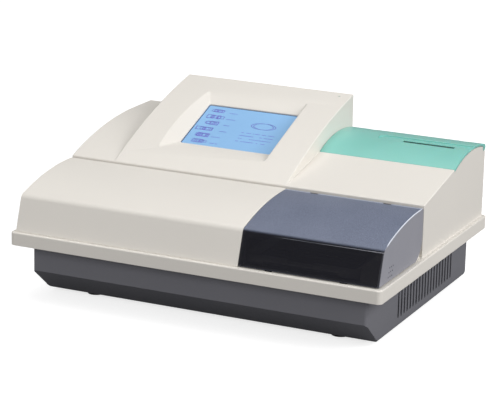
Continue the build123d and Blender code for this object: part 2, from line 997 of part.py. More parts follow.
with BuildPart() as chassis_screws:
    with BuildSketch(Plane.XY.offset(chassis_top)):
        with Locations(*chassis_posts_at):
            Circle(2 * chassis_screw_radius)
    extrude(amount=2 * chassis_screw_radius)
    fillet(chassis_screws.faces().group_by(Axis.Z)[-1].edges(), 0.8)
    with BuildSketch(Plane.XY.offset(chassis_top)):
        with Locations(*chassis_posts_at):
            Circle(chassis_screw_radius)
    extrude(amount=-12)
tell(chassis_screws.part, "chassis_screws")


def upright(x, screw_hole, foot):
    """A bracket across the carriage, with its foot to the left or right."""
    with BuildPart() as made:
        side = (x, x + bracket_thickness)
        add(block(side, (bracket_front, bracket_rear), (chassis_top, bracket_top)))
        fillet(made.edges().filter_by(Axis.X).group_by(Axis.Z)[-1], 6)
        add(
            block(
                (min(x, x + foot), max(x, x + foot)),
                (bracket_front, bracket_rear),
                (chassis_top, chassis_top + bracket_thickness),
            )
        )
        for rod_y in (front_rod_y, rear_rod_y):
            add(
                rod((x - over, x + bracket_thickness + over), rod_y, rod_z, rod_radius + press),
                mode=Mode.SUBTRACT,
            )
        add(
            rod((x - over, x + bracket_thickness + over), screw_y, screw_z, screw_hole),
            mode=Mode.SUBTRACT,
        )
    return made.part


bearing_radius = 7.0
bearing_flange = 9.0
left_bracket = upright(left_bracket_x, 11.0, 14.0)
right_bracket = upright(right_bracket_x, bearing_radius + press, -14.0)
tell(left_bracket, "left_bracket")
tell(right_bracket, "right_bracket")

with BuildPart() as guide_rods:
    for rod_y in (front_rod_y, rear_rod_y):
        side = (left_bracket_x, right_bracket_x + bracket_thickness)
        add(rod(side, rod_y, rod_z, rod_radius))
tell(guide_rods.part, "guide_rods")

with BuildPart() as screw_bearing:
    bearing_end = right_bracket_x + bracket_thickness
    add(rod((right_bracket_x - 2, right_bracket_x), screw_y, screw_z, bearing_flange))
    add(rod((right_bracket_x, bearing_end), screw_y, screw_z, bearing_radius))
    add(
        rod((right_bracket_x - 2 - over, bearing_end), screw_y, screw_z, screw_radius + running),
        mode=Mode.SUBTRACT,
    )
tell(screw_bearing.part, "screw_bearing")

# Motor at the left, its coupler and the lead screw
coupler_left = left_bracket_x + bracket_thickness + 2.0
coupler_right = coupler_left + coupler_length
motor_boss = 10.0
with BuildPart() as carriage_motor:
    half = motor_side / 2
    add(
        block(
            (left_bracket_x - motor_length, left_bracket_x),
            (screw_y - half, screw_y + half),
            (screw_z - half, screw_z + half),
        )
    )
    chamfer(carriage_motor.edges().filter_by(Axis.X), 3)
    add(rod((left_bracket_x, left_bracket_x + 2), screw_y, screw_z, motor_boss))
    add(
        rod(
            (left_bracket_x - 12, left_bracket_x + 2 + over),
            screw_y,
            screw_z,
            shaft_radius + running,
        ),
        mode=Mode.SUBTRACT,
    )
tell(carriage_motor.part, "carriage_motor")

with BuildPart() as motor_shaft:
    add(
        rod(
            (left_bracket_x - 11, coupler_left + coupler_length / 2 - 1),
            screw_y,
            screw_z,
            shaft_radius,
        )
    )
tell(motor_shaft.part, "motor_shaft")

with BuildPart() as shaft_coupler:
    middle = coupler_left + coupler_length / 2
    add(rod((coupler_left, coupler_right), screw_y, screw_z, coupler_radius))
    chamfer(shaft_coupler.edges(), 0.8)
    add(
        rod((coupler_left - over, middle), screw_y, screw_z, shaft_radius + press),
        mode=Mode.SUBTRACT,
    )
    add(
        rod((middle, coupler_right + over), screw_y, screw_z, screw_radius + press),
        mode=Mode.SUBTRACT,
    )
tell(shaft_coupler.part, "shaft_coupler")

with BuildPart() as lead_screw:
    add(rod((coupler_left + coupler_length / 2, bearing_end - 1), screw_y, screw_z, screw_radius))
    chamfer(lead_screw.edges().group_by(Axis.X)[-1], 0.6)
tell(lead_screw.part, "lead_screw")

# Plate carrier: a frame with a pocket for one standard plate, on four blocks
carrier_left = carrier_x - carrier_length / 2
carrier_right = carrier_x + carrier_length / 2
block_starts = (carrier_left, carrier_right - block_length)
clip_length = 24.0
clip_thickness = 0.6
clip_notch = 1.6
clip_sink = 0.6         # the notch goes this far under the plate's seat
flag_length = 8.0
flag_thickness = 1.5
flag_clear = 0.5        # between the flag and the diodes that it passes over
sensor_y = carrier_y - 6.0
with BuildPart() as plate_carrier:
    with BuildSketch(Plane.XY.offset(carrier_z)):
        with Locations((carrier_x, carrier_y)):
            RectangleRounded(carrier_length, carrier_width, 5)
    extrude(amount=carrier_thickness)
    with BuildSketch(Plane.XY.offset(pocket_floor)):
        with Locations((carrier_x, carrier_y)):
            RectangleRounded(pocket_length, pocket_width, 3)
    extrude(amount=pocket_depth + over, mode=Mode.SUBTRACT)
    with BuildSketch(Plane.XY.offset(carrier_z - over)):
        with Locations((carrier_x, carrier_y)):
            RectangleRounded(plate_length - 2 * ledge, plate_width - 2 * ledge, 4)
    extrude(amount=carrier_thickness + over, mode=Mode.SUBTRACT)
    # Finger cut-outs at the front and back of the pocket
    with BuildSketch(Plane.XY.offset(pocket_floor)):
        with Locations((carrier_x, carrier_y)):
            RectangleRounded(30, carrier_width + 2 * over, 2)
    extrude(amount=pocket_depth + over, mode=Mode.SUBTRACT)
    for start in block_starts:
        for rod_y in (front_rod_y, rear_rod_y):
            add(
                block(
                    (start, start + block_length),
                    (rod_y - block_width / 2, rod_y + block_width / 2),
                    (block_bottom, carrier_z),
                )
            )
            add(
                rod((start - over, start + block_length + over), rod_y, rod_z, bush_radius + press),
                mode=Mode.SUBTRACT,
            )
    # Notch for the spring clip, and the flag that finds the home position
    add(
        block(
            (carrier_left + carrier_wall - clip_notch, carrier_left + carrier_wall + over),
            (carrier_y - clip_length / 2, carrier_y + clip_length / 2),
            (pocket_floor - clip_sink, carrier_top + over),
        ),
        mode=Mode.SUBTRACT,
    )
    add(
        block(
            (carrier_left - flag_length, carrier_left + carrier_wall),
            (sensor_y - flag_thickness / 2, sensor_y + flag_thickness / 2),
            (detector_top + diode_rise + flag_clear, pocket_floor - clip_sink),
        )
    )
tell(plate_carrier.part, "plate_carrier")

with BuildPart() as plate_clip:
    clip_x = carrier_left + carrier_wall - clip_notch
    add(
        block(
            (clip_x, clip_x + clip_thickness),
            (carrier_y - clip_length / 2 + 1, carrier_y + clip_length / 2 - 1),
            (pocket_floor - clip_sink, carrier_top),
        )
    )
tell(plate_clip.part, "plate_clip")

with BuildPart() as slide_bushes:
    inset = (block_length - bush_length) / 2
    for start in block_starts:
        for rod_y in (front_rod_y, rear_rod_y):
            side = (start + inset, start + inset + bush_length)
            add(rod(side, rod_y, rod_z, bush_radius))
            add(rod(side, rod_y, rod_z, rod_radius + running), mode=Mode.SUBTRACT)
tell(slide_bushes.part, "slide_bushes")

with BuildPart() as drive_nut:
    nut_side = (carrier_right - nut_length - 4, carrier_right - 4)
    add(
        block(
            nut_side,
            (screw_y - nut_width / 2, screw_y + nut_width / 2),
            (screw_z - 7, block_bottom),
        )
    )
    add(rod(nut_side, screw_y, screw_z, screw_radius + running), mode=Mode.SUBTRACT)
tell(drive_nut.part, "drive_nut")

with BuildPart() as home_sensor:
    sensor_left = left_bracket_x + bracket_thickness
    add(
        block(
            (sensor_left, sensor_left + 13),
            (sensor_y - 6, sensor_y + 6),
            (carrier_z - 19, carrier_z + 2),
        )
    )
    add(
        block(
            (sensor_left + 3, sensor_left + 13 + over),
            (sensor_y - 2.5, sensor_y + 2.5),
            (carrier_z - 10, carrier_z + 2 + over),
        ),
        mode=Mode.SUBTRACT,
    )
tell(home_sensor.part, "home_sensor")

# Reading head: an arm over the plate with eight lenses, diodes below it
head_side = (read_x - head_width / 2, read_x + head_width / 2)
row_y = [carrier_y + row_pitch * (row - (row_count - 1) / 2) for row in range(row_count)]
beam_front = row_y[0] - 4.5
lens_drop = 1.0
with BuildPart() as optics_arm:
    post = (post_front, post_front + post_thickness)
    top = beam_bottom + beam_height
    add(block(head_side, post, (chassis_top, top)))
    add(block(head_side, (beam_front, post[1]), (beam_bottom, top)))
    add(block(head_side, (post_front, chassis_rear), (chassis_top, chassis_top + 4)))
    fillet(optics_arm.edges().filter_by(Axis.X).group_by(Axis.Z)[-1].group_by(Axis.Y)[0], 4)
    with BuildSketch(Plane.XY.offset(beam_bottom)):
        with Locations(*[(read_x, y) for y in row_y]):
            Circle(lens_radius + press)
    extrude(amount=7, mode=Mode.SUBTRACT)
tell(optics_arm.part, "optics_arm")

with BuildPart() as lenses:
    with BuildSketch(Plane.XY.offset(beam_bottom - lens_drop)):
        with Locations(*[(read_x, y) for y in row_y]):
            Circle(lens_radius)
    extrude(amount=4)
tell(lenses.part, "lenses")

with BuildPart() as detector_block:
    add(
        block(
            head_side,
            (row_y[0] - detector_edge, row_y[-1] + detector_edge),
            (chassis_top, detector_top),
        )
    )
    add(
        block(
            (head_side[0] - over, head_side[1] + over),
            (carrier_y - 18, carrier_y + 18),
            (chassis_top - over, chassis_top + 24),
        ),
        mode=Mode.SUBTRACT,
    )
    with BuildSketch(Plane.XY.offset(detector_top)):
        with Locations(*[(read_x, y) for y in row_y]):
            Circle(diode_radius + press)
    extrude(amount=-4, mode=Mode.SUBTRACT)
tell(detector_block.part, "detector_block")

with BuildPart() as photodiodes:
    with BuildSketch(Plane.XY.offset(detector_top - 4)):
        with Locations(*[(read_x, y) for y in row_y]):
            Circle(diode_radius)
    extrude(amount=4 + diode_rise)
tell(photodiodes.part, "photodiodes")

# Filter wheel, its motor and shaft, the lamp and the light guide
wheel_x, wheel_y, wheel_z = wheel_center
wheel_left = wheel_x - wheel_thickness / 2
wheel_right = wheel_x + wheel_thickness / 2
light_y = wheel_y + filter_circle
holder_thickness = 3.0
holder_right = wheel_left - 1.0
holder_left = holder_right - holder_thickness
filter_motor_radius = 12.5
filter_motor_length = 22.0
filter_shaft_radius = 1.5
collar_radius = 5.0
collar_length = 14.0
lamp_bore = 10.0
with BuildPart() as filter_wheel:
    add(rod((wheel_left, wheel_right), wheel_y, wheel_z, wheel_radius))
    add(rod((wheel_left, wheel_right + 3), wheel_y, wheel_z, 6))
    add(rod((holder_left - 8, wheel_left), wheel_y, wheel_z, filter_shaft_radius))
    with BuildSketch(Plane.YZ.offset(wheel_left - over)):
        with Locations((wheel_y, wheel_z)):
            with PolarLocations(filter_circle, filter_count):
                Circle(filter_radius + press)
    extrude(amount=wheel_thickness + 2 * over, mode=Mode.SUBTRACT)
tell(filter_wheel.part, "filter_wheel")

with BuildPart() as filters:
    with BuildSketch(Plane.YZ.offset(wheel_left + 0.5)):
        with Locations((wheel_y, wheel_z)):
            with PolarLocations(filter_circle, filter_count):
                Circle(filter_radius)
    extrude(amount=wheel_thickness - 1)
tell(filters.part, "filters")

with BuildPart() as filter_motor:
    add(
        rod(
            (holder_left - filter_motor_length, holder_left),
            wheel_y,
            wheel_z,
            filter_motor_radius,
        )
    )
    add(
        rod((holder_left - 9, holder_left + over), wheel_y, wheel_z, filter_shaft_radius + running),
        mode=Mode.SUBTRACT,
    )
tell(filter_motor.part, "filter_motor")

with BuildPart() as filter_holder:
    add(
        block(
            (holder_left, holder_right),
            (wheel_y - 20, light_y + 12),
            (tray_floor, wheel_z + 20),
        )
    )
    add(
        block(
            (holder_left - 16, holder_left),
            (wheel_y - 20, light_y + 12),
            (tray_floor, tray_floor + holder_thickness),
        )
    )
    add(
        rod((holder_left - over, holder_right + over), wheel_y, wheel_z, 4),
        mode=Mode.SUBTRACT,
    )
    add(rod((holder_right - collar_length, holder_left), light_y, wheel_z, collar_radius))
    add(
        rod(
            (holder_right - collar_length - over, holder_right + over),
            light_y,
            wheel_z,
            guide_radius + press,
        ),
        mode=Mode.SUBTRACT,
    )
tell(filter_holder.part, "filter_holder")

guide_start = holder_right - 1
guide_z = wheel_z + guide_rise
with BuildPart() as light_guide:
    with BuildLine() as guide_path:
        FilletPolyline(
            (guide_start, light_y, wheel_z),
            (read_x, light_y, wheel_z),
            (read_x, light_y, guide_z),
            (read_x, post_front + post_thickness, guide_z),
            radius=guide_bend,
        )
    with BuildSketch(Plane.YZ.offset(guide_start)):
        with Locations((light_y, wheel_z)):
            Circle(guide_radius)
    sweep(path=guide_path.line)
tell(light_guide.part, "light_guide")

lamp_left = wheel_right + 4.0
lamp_length = 40.0
lamp_side = 18.0
with BuildPart() as lamp_housing:
    add(
        block(
            (lamp_left, lamp_left + lamp_length),
            (light_y - lamp_side, light_y + lamp_side),
            (wheel_z - lamp_side, wheel_z + 14),
        )
    )
    for fin in range(7):
        fin_x = lamp_left + 3 + fin * 5.5
        add(
            block(
                (fin_x, fin_x + 3),
                (light_y - lamp_side - over, light_y + lamp_side + over),
                (wheel_z + 11, wheel_z + 14 + over),
            ),
            mode=Mode.SUBTRACT,
        )
    add(
        block(
            (lamp_left + 4, lamp_left + lamp_length - 4),
            (light_y - 12, light_y + 12),
            (tray_floor, wheel_z - lamp_side),
        )
    )
    add(
        rod((lamp_left + 4, lamp_left + lamp_length + over), light_y, wheel_z, lamp_bore),
        mode=Mode.SUBTRACT,
    )
    add(
        rod((lamp_left - over, lamp_left + 5), light_y, wheel_z, 4),
        mode=Mode.SUBTRACT,
    )
tell(lamp_housing.part, "lamp_housing")

with BuildPart() as lamp_bulb:
    base_left = lamp_left + lamp_length - 12
    add(rod((base_left, lamp_left + lamp_length), light_y, wheel_z, lamp_bore - press))
    add(rod((lamp_left + 16, base_left), light_y, wheel_z, 5.5))
    fillet(lamp_bulb.edges().group_by(Axis.X)[0], 4)
tell(lamp_bulb.part, "lamp_bulb")

# Touch screen: glass, display and steel frame under the console's window
with BuildPart() as touch_panel:
    with BuildSketch(screen_plane.offset(-recess_lip - touch_thickness)):
        RectangleRounded(window_width + 7, window_height + 7, 2)
    extrude(amount=touch_thickness)
tell(touch_panel.part, "touch_panel")

lcd_front = recess_lip + touch_thickness
with BuildPart() as display_module:
    with BuildSketch(screen_plane.offset(-lcd_front - lcd_thickness)):
        RectangleRounded(lcd_width, lcd_height - 16, 2)
    extrude(amount=lcd_thickness)
tell(display_module.part, "display_module")

with BuildPart() as display_frame:
    frame_plane = screen_plane.offset(-lcd_front - lcd_thickness - frame_thickness)
    with BuildSketch(frame_plane):
        RectangleRounded(2 * screen_boss_x + 10, 2 * screen_boss_y + 10, 5)
        with Locations((0, -screen_boss_y + 8)):
            SlotOverall(34, 10, mode=Mode.SUBTRACT)
    extrude(amount=frame_thickness)
tell(display_frame.part, "display_frame")

with BuildPart() as power_lamp:
    with BuildSketch(Plane.XY.offset(led_top)):
        with Locations((led_x, led_y)):
            Circle(led_radius)
    extrude(amount=-led_length)
    with BuildSketch(Plane.XY.offset(led_top - led_length)):
        with Locations((led_x, led_y)):
            Circle(led_radius + 1)
    extrude(amount=1)
tell(power_lamp.part, "power_lamp")

# Circuit board, power supply and fan
board_top = board_z + board_thickness
chips = (
    (30, 25, 28, 28, 3),
    (75, 20, 20, 14, 3),
    (105, 22, 20, 14, 3),
    (150, 28, 34, 12, 9),
    (50, 60, 50, 8, 9),
    (190, 55, 16, 16, 14),
)
with BuildPart() as main_board:
    add(
        block(
            (board_left, board_right),
            (board_front, board_rear),
            (board_z, board_top),
        )
    )
    for from_left, from_front, long, deep, high in chips:
        with BuildSketch(Plane.XY.offset(board_top)):
            with Locations((board_left + from_left, board_front + from_front)):
                Rectangle(long, deep)
        extrude(amount=high)
tell(main_board.part, "main_board")

with BuildPart() as power_supply:
    add(
        block(
            (supply_left, supply_right),
            (supply_front, supply_rear),
            (board_z, board_top),
        )
    )
    add(
        block(
            (supply_left + 12, supply_left + 50),
            (supply_front + 14, supply_front + 46),
            (board_top, board_top + 30),
        )
    )
    add(
        block(
            (supply_right - 42, supply_right - 38),
            (supply_front + 10, supply_front + 60),
            (board_top, board_top + 28),
        )
    )
    with BuildSketch(Plane.XY.offset(board_top)):
        with Locations((supply_right - 20, supply_front + 20), (supply_right - 20, supply_front + 48)):
            Circle(9)
    extrude(amount=25)
tell(power_supply.part, "power_supply")

fan_size = 60.0
fan_depth = 15.0
fan_y = rear - 97.5
fan_z = tray_floor + fan_size / 2
fan_right = tray_right - wall - 1.5
fan_bore = 28.0
fan_hub = 12.0
blade_count = 7
with BuildPart() as fan_frame:
    half = fan_size / 2
    add(
        block(
            (fan_right - fan_depth, fan_right),
            (fan_y - half, fan_y + half),
            (fan_z - half, fan_z + half),
        )
    )
    fillet(fan_frame.edges().filter_by(Axis.X), 3)
    add(
        rod((fan_right - fan_depth - over, fan_right + over), fan_y, fan_z, fan_bore),
        mode=Mode.SUBTRACT,
    )
    add(rod((fan_right - 3, fan_right), fan_y, fan_z, fan_hub))
    with BuildSketch(Plane.YZ.offset(fan_right - 3)):
        with Locations((fan_y, fan_z)):
            with PolarLocations(fan_bore / 2 + 5, 3, start_angle=30):
                Rectangle(fan_bore - 8, 3)
    extrude(amount=3)
    add(rod((fan_right - 9, fan_right - 3), fan_y, fan_z, 1.5))
tell(fan_frame.part, "fan_frame")

with BuildPart() as fan_rotor:
    add(rod((fan_right - fan_depth + 1, fan_right - 3.5), fan_y, fan_z, fan_hub))
    with BuildSketch(Plane.YZ.offset(fan_right - fan_depth + 1)):
        with Locations((fan_y, fan_z)):
            with PolarLocations(0, blade_count):
                with Locations((fan_bore / 2 + 4, 0)):
                    Rectangle(fan_bore - 10, 2, rotation=25)
    extrude(amount=fan_depth - 4.5)
    add(
        rod((fan_right - 9.5, fan_right - 2), fan_y, fan_z, 1.5 + running),
        mode=Mode.SUBTRACT,
    )
    with BuildSketch(Plane.YZ.offset(fan_right - fan_depth)):
        with Locations((fan_y, fan_z)):
            Circle(fan_bore + 12)
            Circle(fan_bore - 1, mode=Mode.SUBTRACT)
    extrude(amount=fan_depth, mode=Mode.SUBTRACT)
tell(fan_rotor.part, "fan_rotor")

# Back panel and its connectors
panel_z = (panel_bottom + panel_top) / 2
panel_face = tray_rear - wall
inlet_x = left + 350.0
switch_x = left + 305.0
serial_x = left + 120.0
usb_x = left + 165.0
inlet_width = 27.0
inlet_height = 20.0
cavity_width = 22.0
cavity_height = 15.5
cavity_depth = 16.0
pin_recess = 5.0
switch_width = 12.0
switch_height = 20.0
serial_width = 19.0
serial_height = 10.5
port_z = board_top + 9.0


def panel_hole(x, z, wide, high, corner):
    """A rounded rectangle on the panel's outer face, to be cut or raised."""
    with BuildSketch(Plane.XZ.offset(-panel_face)) as hole:
        with Locations((x, z)):
            RectangleRounded(wide, high, corner)
    return hole.sketch


with BuildPart() as connector_panel:
    with BuildSketch(Plane.XZ.offset(-panel_face)):
        with Locations((0, panel_z)):
            RectangleRounded(2 * panel_half, panel_top - panel_bottom, 3)
    extrude(amount=panel_thickness)
    for x, z, wide, high in (
        (inlet_x, panel_z, inlet_width, inlet_height),
        (switch_x, panel_z, switch_width, switch_height),
        (serial_x, port_z, serial_width, serial_height),
        (usb_x, port_z, 12.0, 11.0),
    ):
        extrude(
            panel_hole(x, z, wide + 2 * press, high + 2 * press, 1),
            amount=panel_thickness,
            mode=Mode.SUBTRACT,
        )
tell(connector_panel.part, "connector_panel")

with BuildPart() as power_inlet:
    extrude(panel_hole(inlet_x, panel_z, inlet_width, inlet_height, 1), amount=18)
    extrude(panel_hole(inlet_x, panel_z, inlet_width + 4, inlet_height + 6, 3), amount=-2.5)
    with BuildSketch(Plane.XZ.offset(-panel_face - 2.5)):
        with Locations((inlet_x, panel_z)):
            Rectangle(cavity_width, cavity_height)
    extrude(amount=cavity_depth, mode=Mode.SUBTRACT)
    with BuildSketch(Plane.XZ.offset(-panel_face - 2.5 + cavity_depth)):
        with Locations((inlet_x - 6, panel_z - 2), (inlet_x, panel_z + 2), (inlet_x + 6, panel_z - 2)):
            Rectangle(2, 4)
    extrude(amount=pin_recess - cavity_depth)
tell(power_inlet.part, "power_inlet")

rocker_tilt = 8.0
rocker_half = 3.9
pivot_y = panel_face - 0.5
pivot_radius = 1.0
with BuildPart() as power_switch:
    extrude(panel_hole(switch_x, panel_z, switch_width, switch_height, 1), amount=9)
    extrude(panel_hole(switch_x, panel_z, switch_width + 3, switch_height + 3, 2), amount=-1.8)
    add(
        block(
            (switch_x - rocker_half - gap, switch_x + rocker_half + gap),
            (pivot_y - 6, tray_rear),
            (panel_z - 8.3, panel_z + 8.3),
        ),
        mode=Mode.SUBTRACT,
    )
    add(
        rod((switch_x - 5.2, switch_x + 5.2), pivot_y, panel_z, pivot_radius + running),
        mode=Mode.SUBTRACT,
    )
tell(power_switch.part, "power_switch")

with BuildPart() as power_rocker:
    rocker_plane = Plane(
        origin=(switch_x - rocker_half, pivot_y, panel_z),
        x_dir=(0, cos(radians(rocker_tilt)), -sin(radians(rocker_tilt))),
        z_dir=(1, 0, 0),
    )
    with BuildSketch(rocker_plane):
        with BuildLine():
            Polyline((-4, -6.5), (2.2, -7.2), (1.0, 0), (2.2, 7.2), (-4, 6.5), (-4, -6.5))
        make_face()
    extrude(amount=2 * rocker_half)
    add(rod((switch_x - 5, switch_x + 5), pivot_y, panel_z, pivot_radius))
tell(power_rocker.part, "power_rocker")

with BuildPart() as serial_port:
    extrude(panel_hole(serial_x, port_z, serial_width, serial_height, 1), amount=11)
    extrude(panel_hole(serial_x, port_z, 31.0, 12.5, 1.5), amount=-1.0)
    port_plane = Plane(origin=(serial_x, panel_face, port_z), x_dir=(1, 0, 0), z_dir=(0, -1, 0))
    with BuildSketch(port_plane):
        with BuildLine():
            Polyline((-8.4, 4.2), (8.4, 4.2), (7.0, -4.2), (-7.0, -4.2), (-8.4, 4.2))
        make_face()
        with GridLocations(25, 0, 2, 1):
            RegularPolygon(2.6, 6)
    extrude(amount=-2.9)
tell(serial_port.part, "serial_port")

with BuildPart() as usb_port:
    extrude(panel_hole(usb_x, port_z, 12.0, 11.0, 1), amount=14)
    extrude(panel_hole(usb_x, port_z, 12.0, 11.0, 1), amount=-1.5)
    with BuildSketch(Plane.XZ.offset(-panel_face - 1.5)):
        with Locations((usb_x, port_z)):
            Rectangle(8.5, 7.8)
            Rectangle(5.6, 3.2, mode=Mode.SUBTRACT)
    extrude(amount=10, mode=Mode.SUBTRACT)
tell(usb_port.part, "usb_port")

# Printer: frame, paper roll on its spindle, head, platen and drive
printer_x = left + slot_left_from_left + slot_length / 2
frame_half = 33.0
frame_sheet = 2.0
roll_radius = 24.0
roll_length = 57.0
roll_y = slope_end + 32.0
roll_z = well_floor + 29.0
spindle_radius = 5.9
stub_radius = 3.0
platen_radius = 5.5
platen_shaft = 2.0
platen_y = front + 285.5
platen_z = well_floor + 65.0
can_radius = 8.0
can_length = 18.0
can_y = platen_y + 6.0
can_z = platen_z - 19.0
frame_left = printer_x - frame_half
frame_right = printer_x + frame_half
inner_left = frame_left + frame_sheet
inner_right = frame_right - frame_sheet
roll_side = (printer_x - roll_length / 2, printer_x + roll_length / 2)
with BuildPart() as printer_frame:
    add(
        block(
            (frame_left, frame_right),
            (well_front + 4, well_rear - 4),
            (well_floor, well_floor + frame_sheet),
        )
    )
    for x in (frame_left, inner_right):
        with BuildSketch(Plane.YZ.offset(x)):
            with BuildLine():
                Polyline(
                    (well_front + 4, well_floor),
                    (well_front + 4, roll_z + 13),
                    (platen_y - 14, roll_z + 13),
                    (platen_y - 14, platen_z + 6),
                    (platen_y + 16, platen_z + 6),
                    (platen_y + 16, roll_z + 13),
                    (well_rear - 4, well_floor + 20),
                    (well_rear - 4, well_floor),
                    (well_front + 4, well_floor),
                )
            make_face()
            with Locations((platen_y, platen_z)):
                Circle(platen_shaft + running, mode=Mode.SUBTRACT)
            with Locations((roll_y, roll_z)):
                Circle(stub_radius + press, mode=Mode.SUBTRACT)
            with Locations((roll_y, roll_z + 10)):
                Rectangle(2 * (stub_radius + press), 20, mode=Mode.SUBTRACT)
        extrude(amount=frame_sheet)
    add(
        rod((inner_right - over, frame_right + over), can_y, can_z, can_radius + press),
        mode=Mode.SUBTRACT,
    )
tell(printer_frame.part, "printer_frame")

with BuildPart() as paper_spindle:
    add(rod((inner_left, inner_right), roll_y, roll_z, spindle_radius))
    add(rod((frame_left, frame_right), roll_y, roll_z, stub_radius))
tell(paper_spindle.part, "paper_spindle")

with BuildPart() as paper_roll:
    add(rod(roll_side, roll_y, roll_z, roll_radius))
    add(rod(roll_side, roll_y, roll_z, spindle_radius + running), mode=Mode.SUBTRACT)
tell(paper_roll.part, "paper_roll")

gear_case_width = 7.0
with BuildPart() as platen_roller:
    add(rod((inner_left + 1, inner_right - 1), platen_y, platen_z, platen_radius))
    add(
        rod(
            (frame_left - 2, frame_right + gear_case_width - 2),
            platen_y,
            platen_z,
            platen_shaft,
        )
    )
tell(platen_roller.part, "platen_roller")

with BuildPart() as thermal_head:
    head_face = platen_y - platen_radius - gap
    add(block((inner_left, inner_right), (head_face - 1.5, head_face), (platen_z - 7, platen_z + 5)))
    add(
        block(
            (inner_left, inner_right),
            (head_face - 5, head_face - 1.5),
            (platen_z - 9, platen_z + 5),
        )
    )
tell(thermal_head.part, "thermal_head")

with BuildPart() as printer_motor:
    add(
        block(
            (frame_right, frame_right + gear_case_width),
            (platen_y - 12, platen_y + 16),
            (platen_z - 28, platen_z + 6),
        )
    )
    fillet(printer_motor.edges().filter_by(Axis.X), 4)
    add(
        rod(
            (frame_right - over, frame_right + gear_case_width - 1),
            platen_y,
            platen_z,
            platen_shaft + running,
        ),
        mode=Mode.SUBTRACT,
    )
    add(rod((inner_right - can_length, frame_right), can_y, can_z, can_radius))
tell(printer_motor.part, "printer_motor")

# Printer cover: an arched shell that ends in a hinge barrel
cover_left = console_right + gap
with BuildPart() as channel_form:
    with BuildSketch(Plane.YZ.offset(cover_left)):
        with Locations((arch_y, arch_z)):
            Circle(arch_radius + 4)
            Circle(arch_radius - channel_depth, mode=Mode.SUBTRACT)
    extrude(amount=body_right - cover_left + over)
    with BuildSketch(Plane.XY.offset(arch_z)):
        channel_start = left + channel_from_left
        with Locations(((channel_start + right) / 2, front + channel_front + channel_width / 2)):
            SlotOverall(right - channel_start, channel_width)
        with Locations((right - 20, front + channel_front + channel_width / 2)):
            Rectangle(60, channel_width)
    extrude(amount=arch_radius + 10, mode=Mode.INTERSECT)

with BuildPart() as printer_cover:
    with BuildSketch(Plane.YZ.offset(cover_left)):
        with BuildLine():
            ThreePointArc(
                arch_point(slope_end),
                arch_point(arch_y),
                arch_point(printer_hinge_y),
            )
            Line(arch_point(printer_hinge_y), arch_point(printer_hinge_y, shell))
            ThreePointArc(
                arch_point(printer_hinge_y, shell),
                arch_point(arch_y, shell),
                arch_point(slope_end, shell),
            )
            Line(arch_point(slope_end, shell), arch_point(slope_end))
        make_face()
        with Locations((printer_hinge_y, printer_hinge_z)):
            Circle(printer_barrel)
    extrude(amount=body_right - cover_left)
    add(channel_form.part, mode=Mode.SUBTRACT)
    slot_y = front + channel_front + slot_inset + slot_width / 2
    with BuildSketch(Plane.XY.offset(arch_crest_z - 2 * shell)):
        with Locations((printer_x, slot_y)):
            Rectangle(slot_length, slot_width)
    extrude(amount=3 * shell, mode=Mode.SUBTRACT)
    for lug_x in printer_lugs_at:
        half = printer_lug_width / 2 + lid_knuckle_gap
        add(
            block(
                (lug_x - half, lug_x + half),
                (printer_hinge_y - printer_barrel - gap, rear),
                (printer_hinge_z - printer_barrel - over, arch_crest_z),
            ),
            mode=Mode.SUBTRACT,
        )
        add(
            rod(
                (lug_x - pin_length / 2 - gap, lug_x + pin_length / 2 + gap),
                printer_hinge_y,
                printer_hinge_z,
                pin_radius + running,
            ),
            mode=Mode.SUBTRACT,
        )
tell(printer_cover.part, "printer_cover")

with BuildPart() as cover_hinge_pins:
    for lug_x in printer_lugs_at:
        add(
            rod(
                (lug_x - pin_length / 2, lug_x + pin_length / 2),
                printer_hinge_y,
                printer_hinge_z,
                pin_radius,
            )
        )
tell(cover_hinge_pins.part, "cover_hinge_pins")
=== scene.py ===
# %% [markdown]
# # Dressing a bench microplate reader
#
# The solid model of the reader is already built and packed: a grey tray, a cream
# housing with a sloping console, a smoked lid over the plate bay and a green
# cover over the printer. This lesson gives it its looks. Every piece stays where
# the packed model puts it. We add finishes, rounded edges and the picture on the
# screen, and then the stage and its lamps.

# %% Load the packed model
import math

import bmesh
import bpy
from mathutils import Matrix, Vector


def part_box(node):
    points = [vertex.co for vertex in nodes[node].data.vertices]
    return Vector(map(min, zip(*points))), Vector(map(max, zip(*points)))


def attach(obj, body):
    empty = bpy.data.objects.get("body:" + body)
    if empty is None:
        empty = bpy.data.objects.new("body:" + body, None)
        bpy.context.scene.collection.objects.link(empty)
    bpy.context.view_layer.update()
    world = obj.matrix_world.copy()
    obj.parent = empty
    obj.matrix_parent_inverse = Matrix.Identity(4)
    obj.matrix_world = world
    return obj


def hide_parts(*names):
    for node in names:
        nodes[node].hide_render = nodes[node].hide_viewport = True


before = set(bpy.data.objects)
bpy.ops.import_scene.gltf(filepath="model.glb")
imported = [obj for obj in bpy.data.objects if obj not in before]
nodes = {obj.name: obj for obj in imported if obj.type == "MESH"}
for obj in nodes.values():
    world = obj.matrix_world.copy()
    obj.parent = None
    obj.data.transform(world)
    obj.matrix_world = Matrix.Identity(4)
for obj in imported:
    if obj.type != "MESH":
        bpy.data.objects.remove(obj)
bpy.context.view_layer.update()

MM = 0.001

# %% [markdown]
# ## The camera
#
# The photograph was taken from about 2.5 m away with a long lens, a little to the
# right of the reader and a little above it. A camera could be aimed at a point by
# a constraint, but then its roll is hard to set. Its own axes are its right hand,
# its up and the direction that it looks back along, so we work those out from an
# azimuth, an elevation and a small roll, and place them as the columns of its
# matrix. A small shift puts the middle of the lens where the photograph has it.

# %% Camera
azimuth, elevation, roll = (math.radians(angle) for angle in (24.5, 15.7, 1.4))
camera_place = (1.0087, -2.2072, 0.7847)
sensor_mm, lens_mm = 36.0, 158.07
shift_right, shift_up = -0.0126, -0.0004
nearest, furthest = 0.1, 30.0

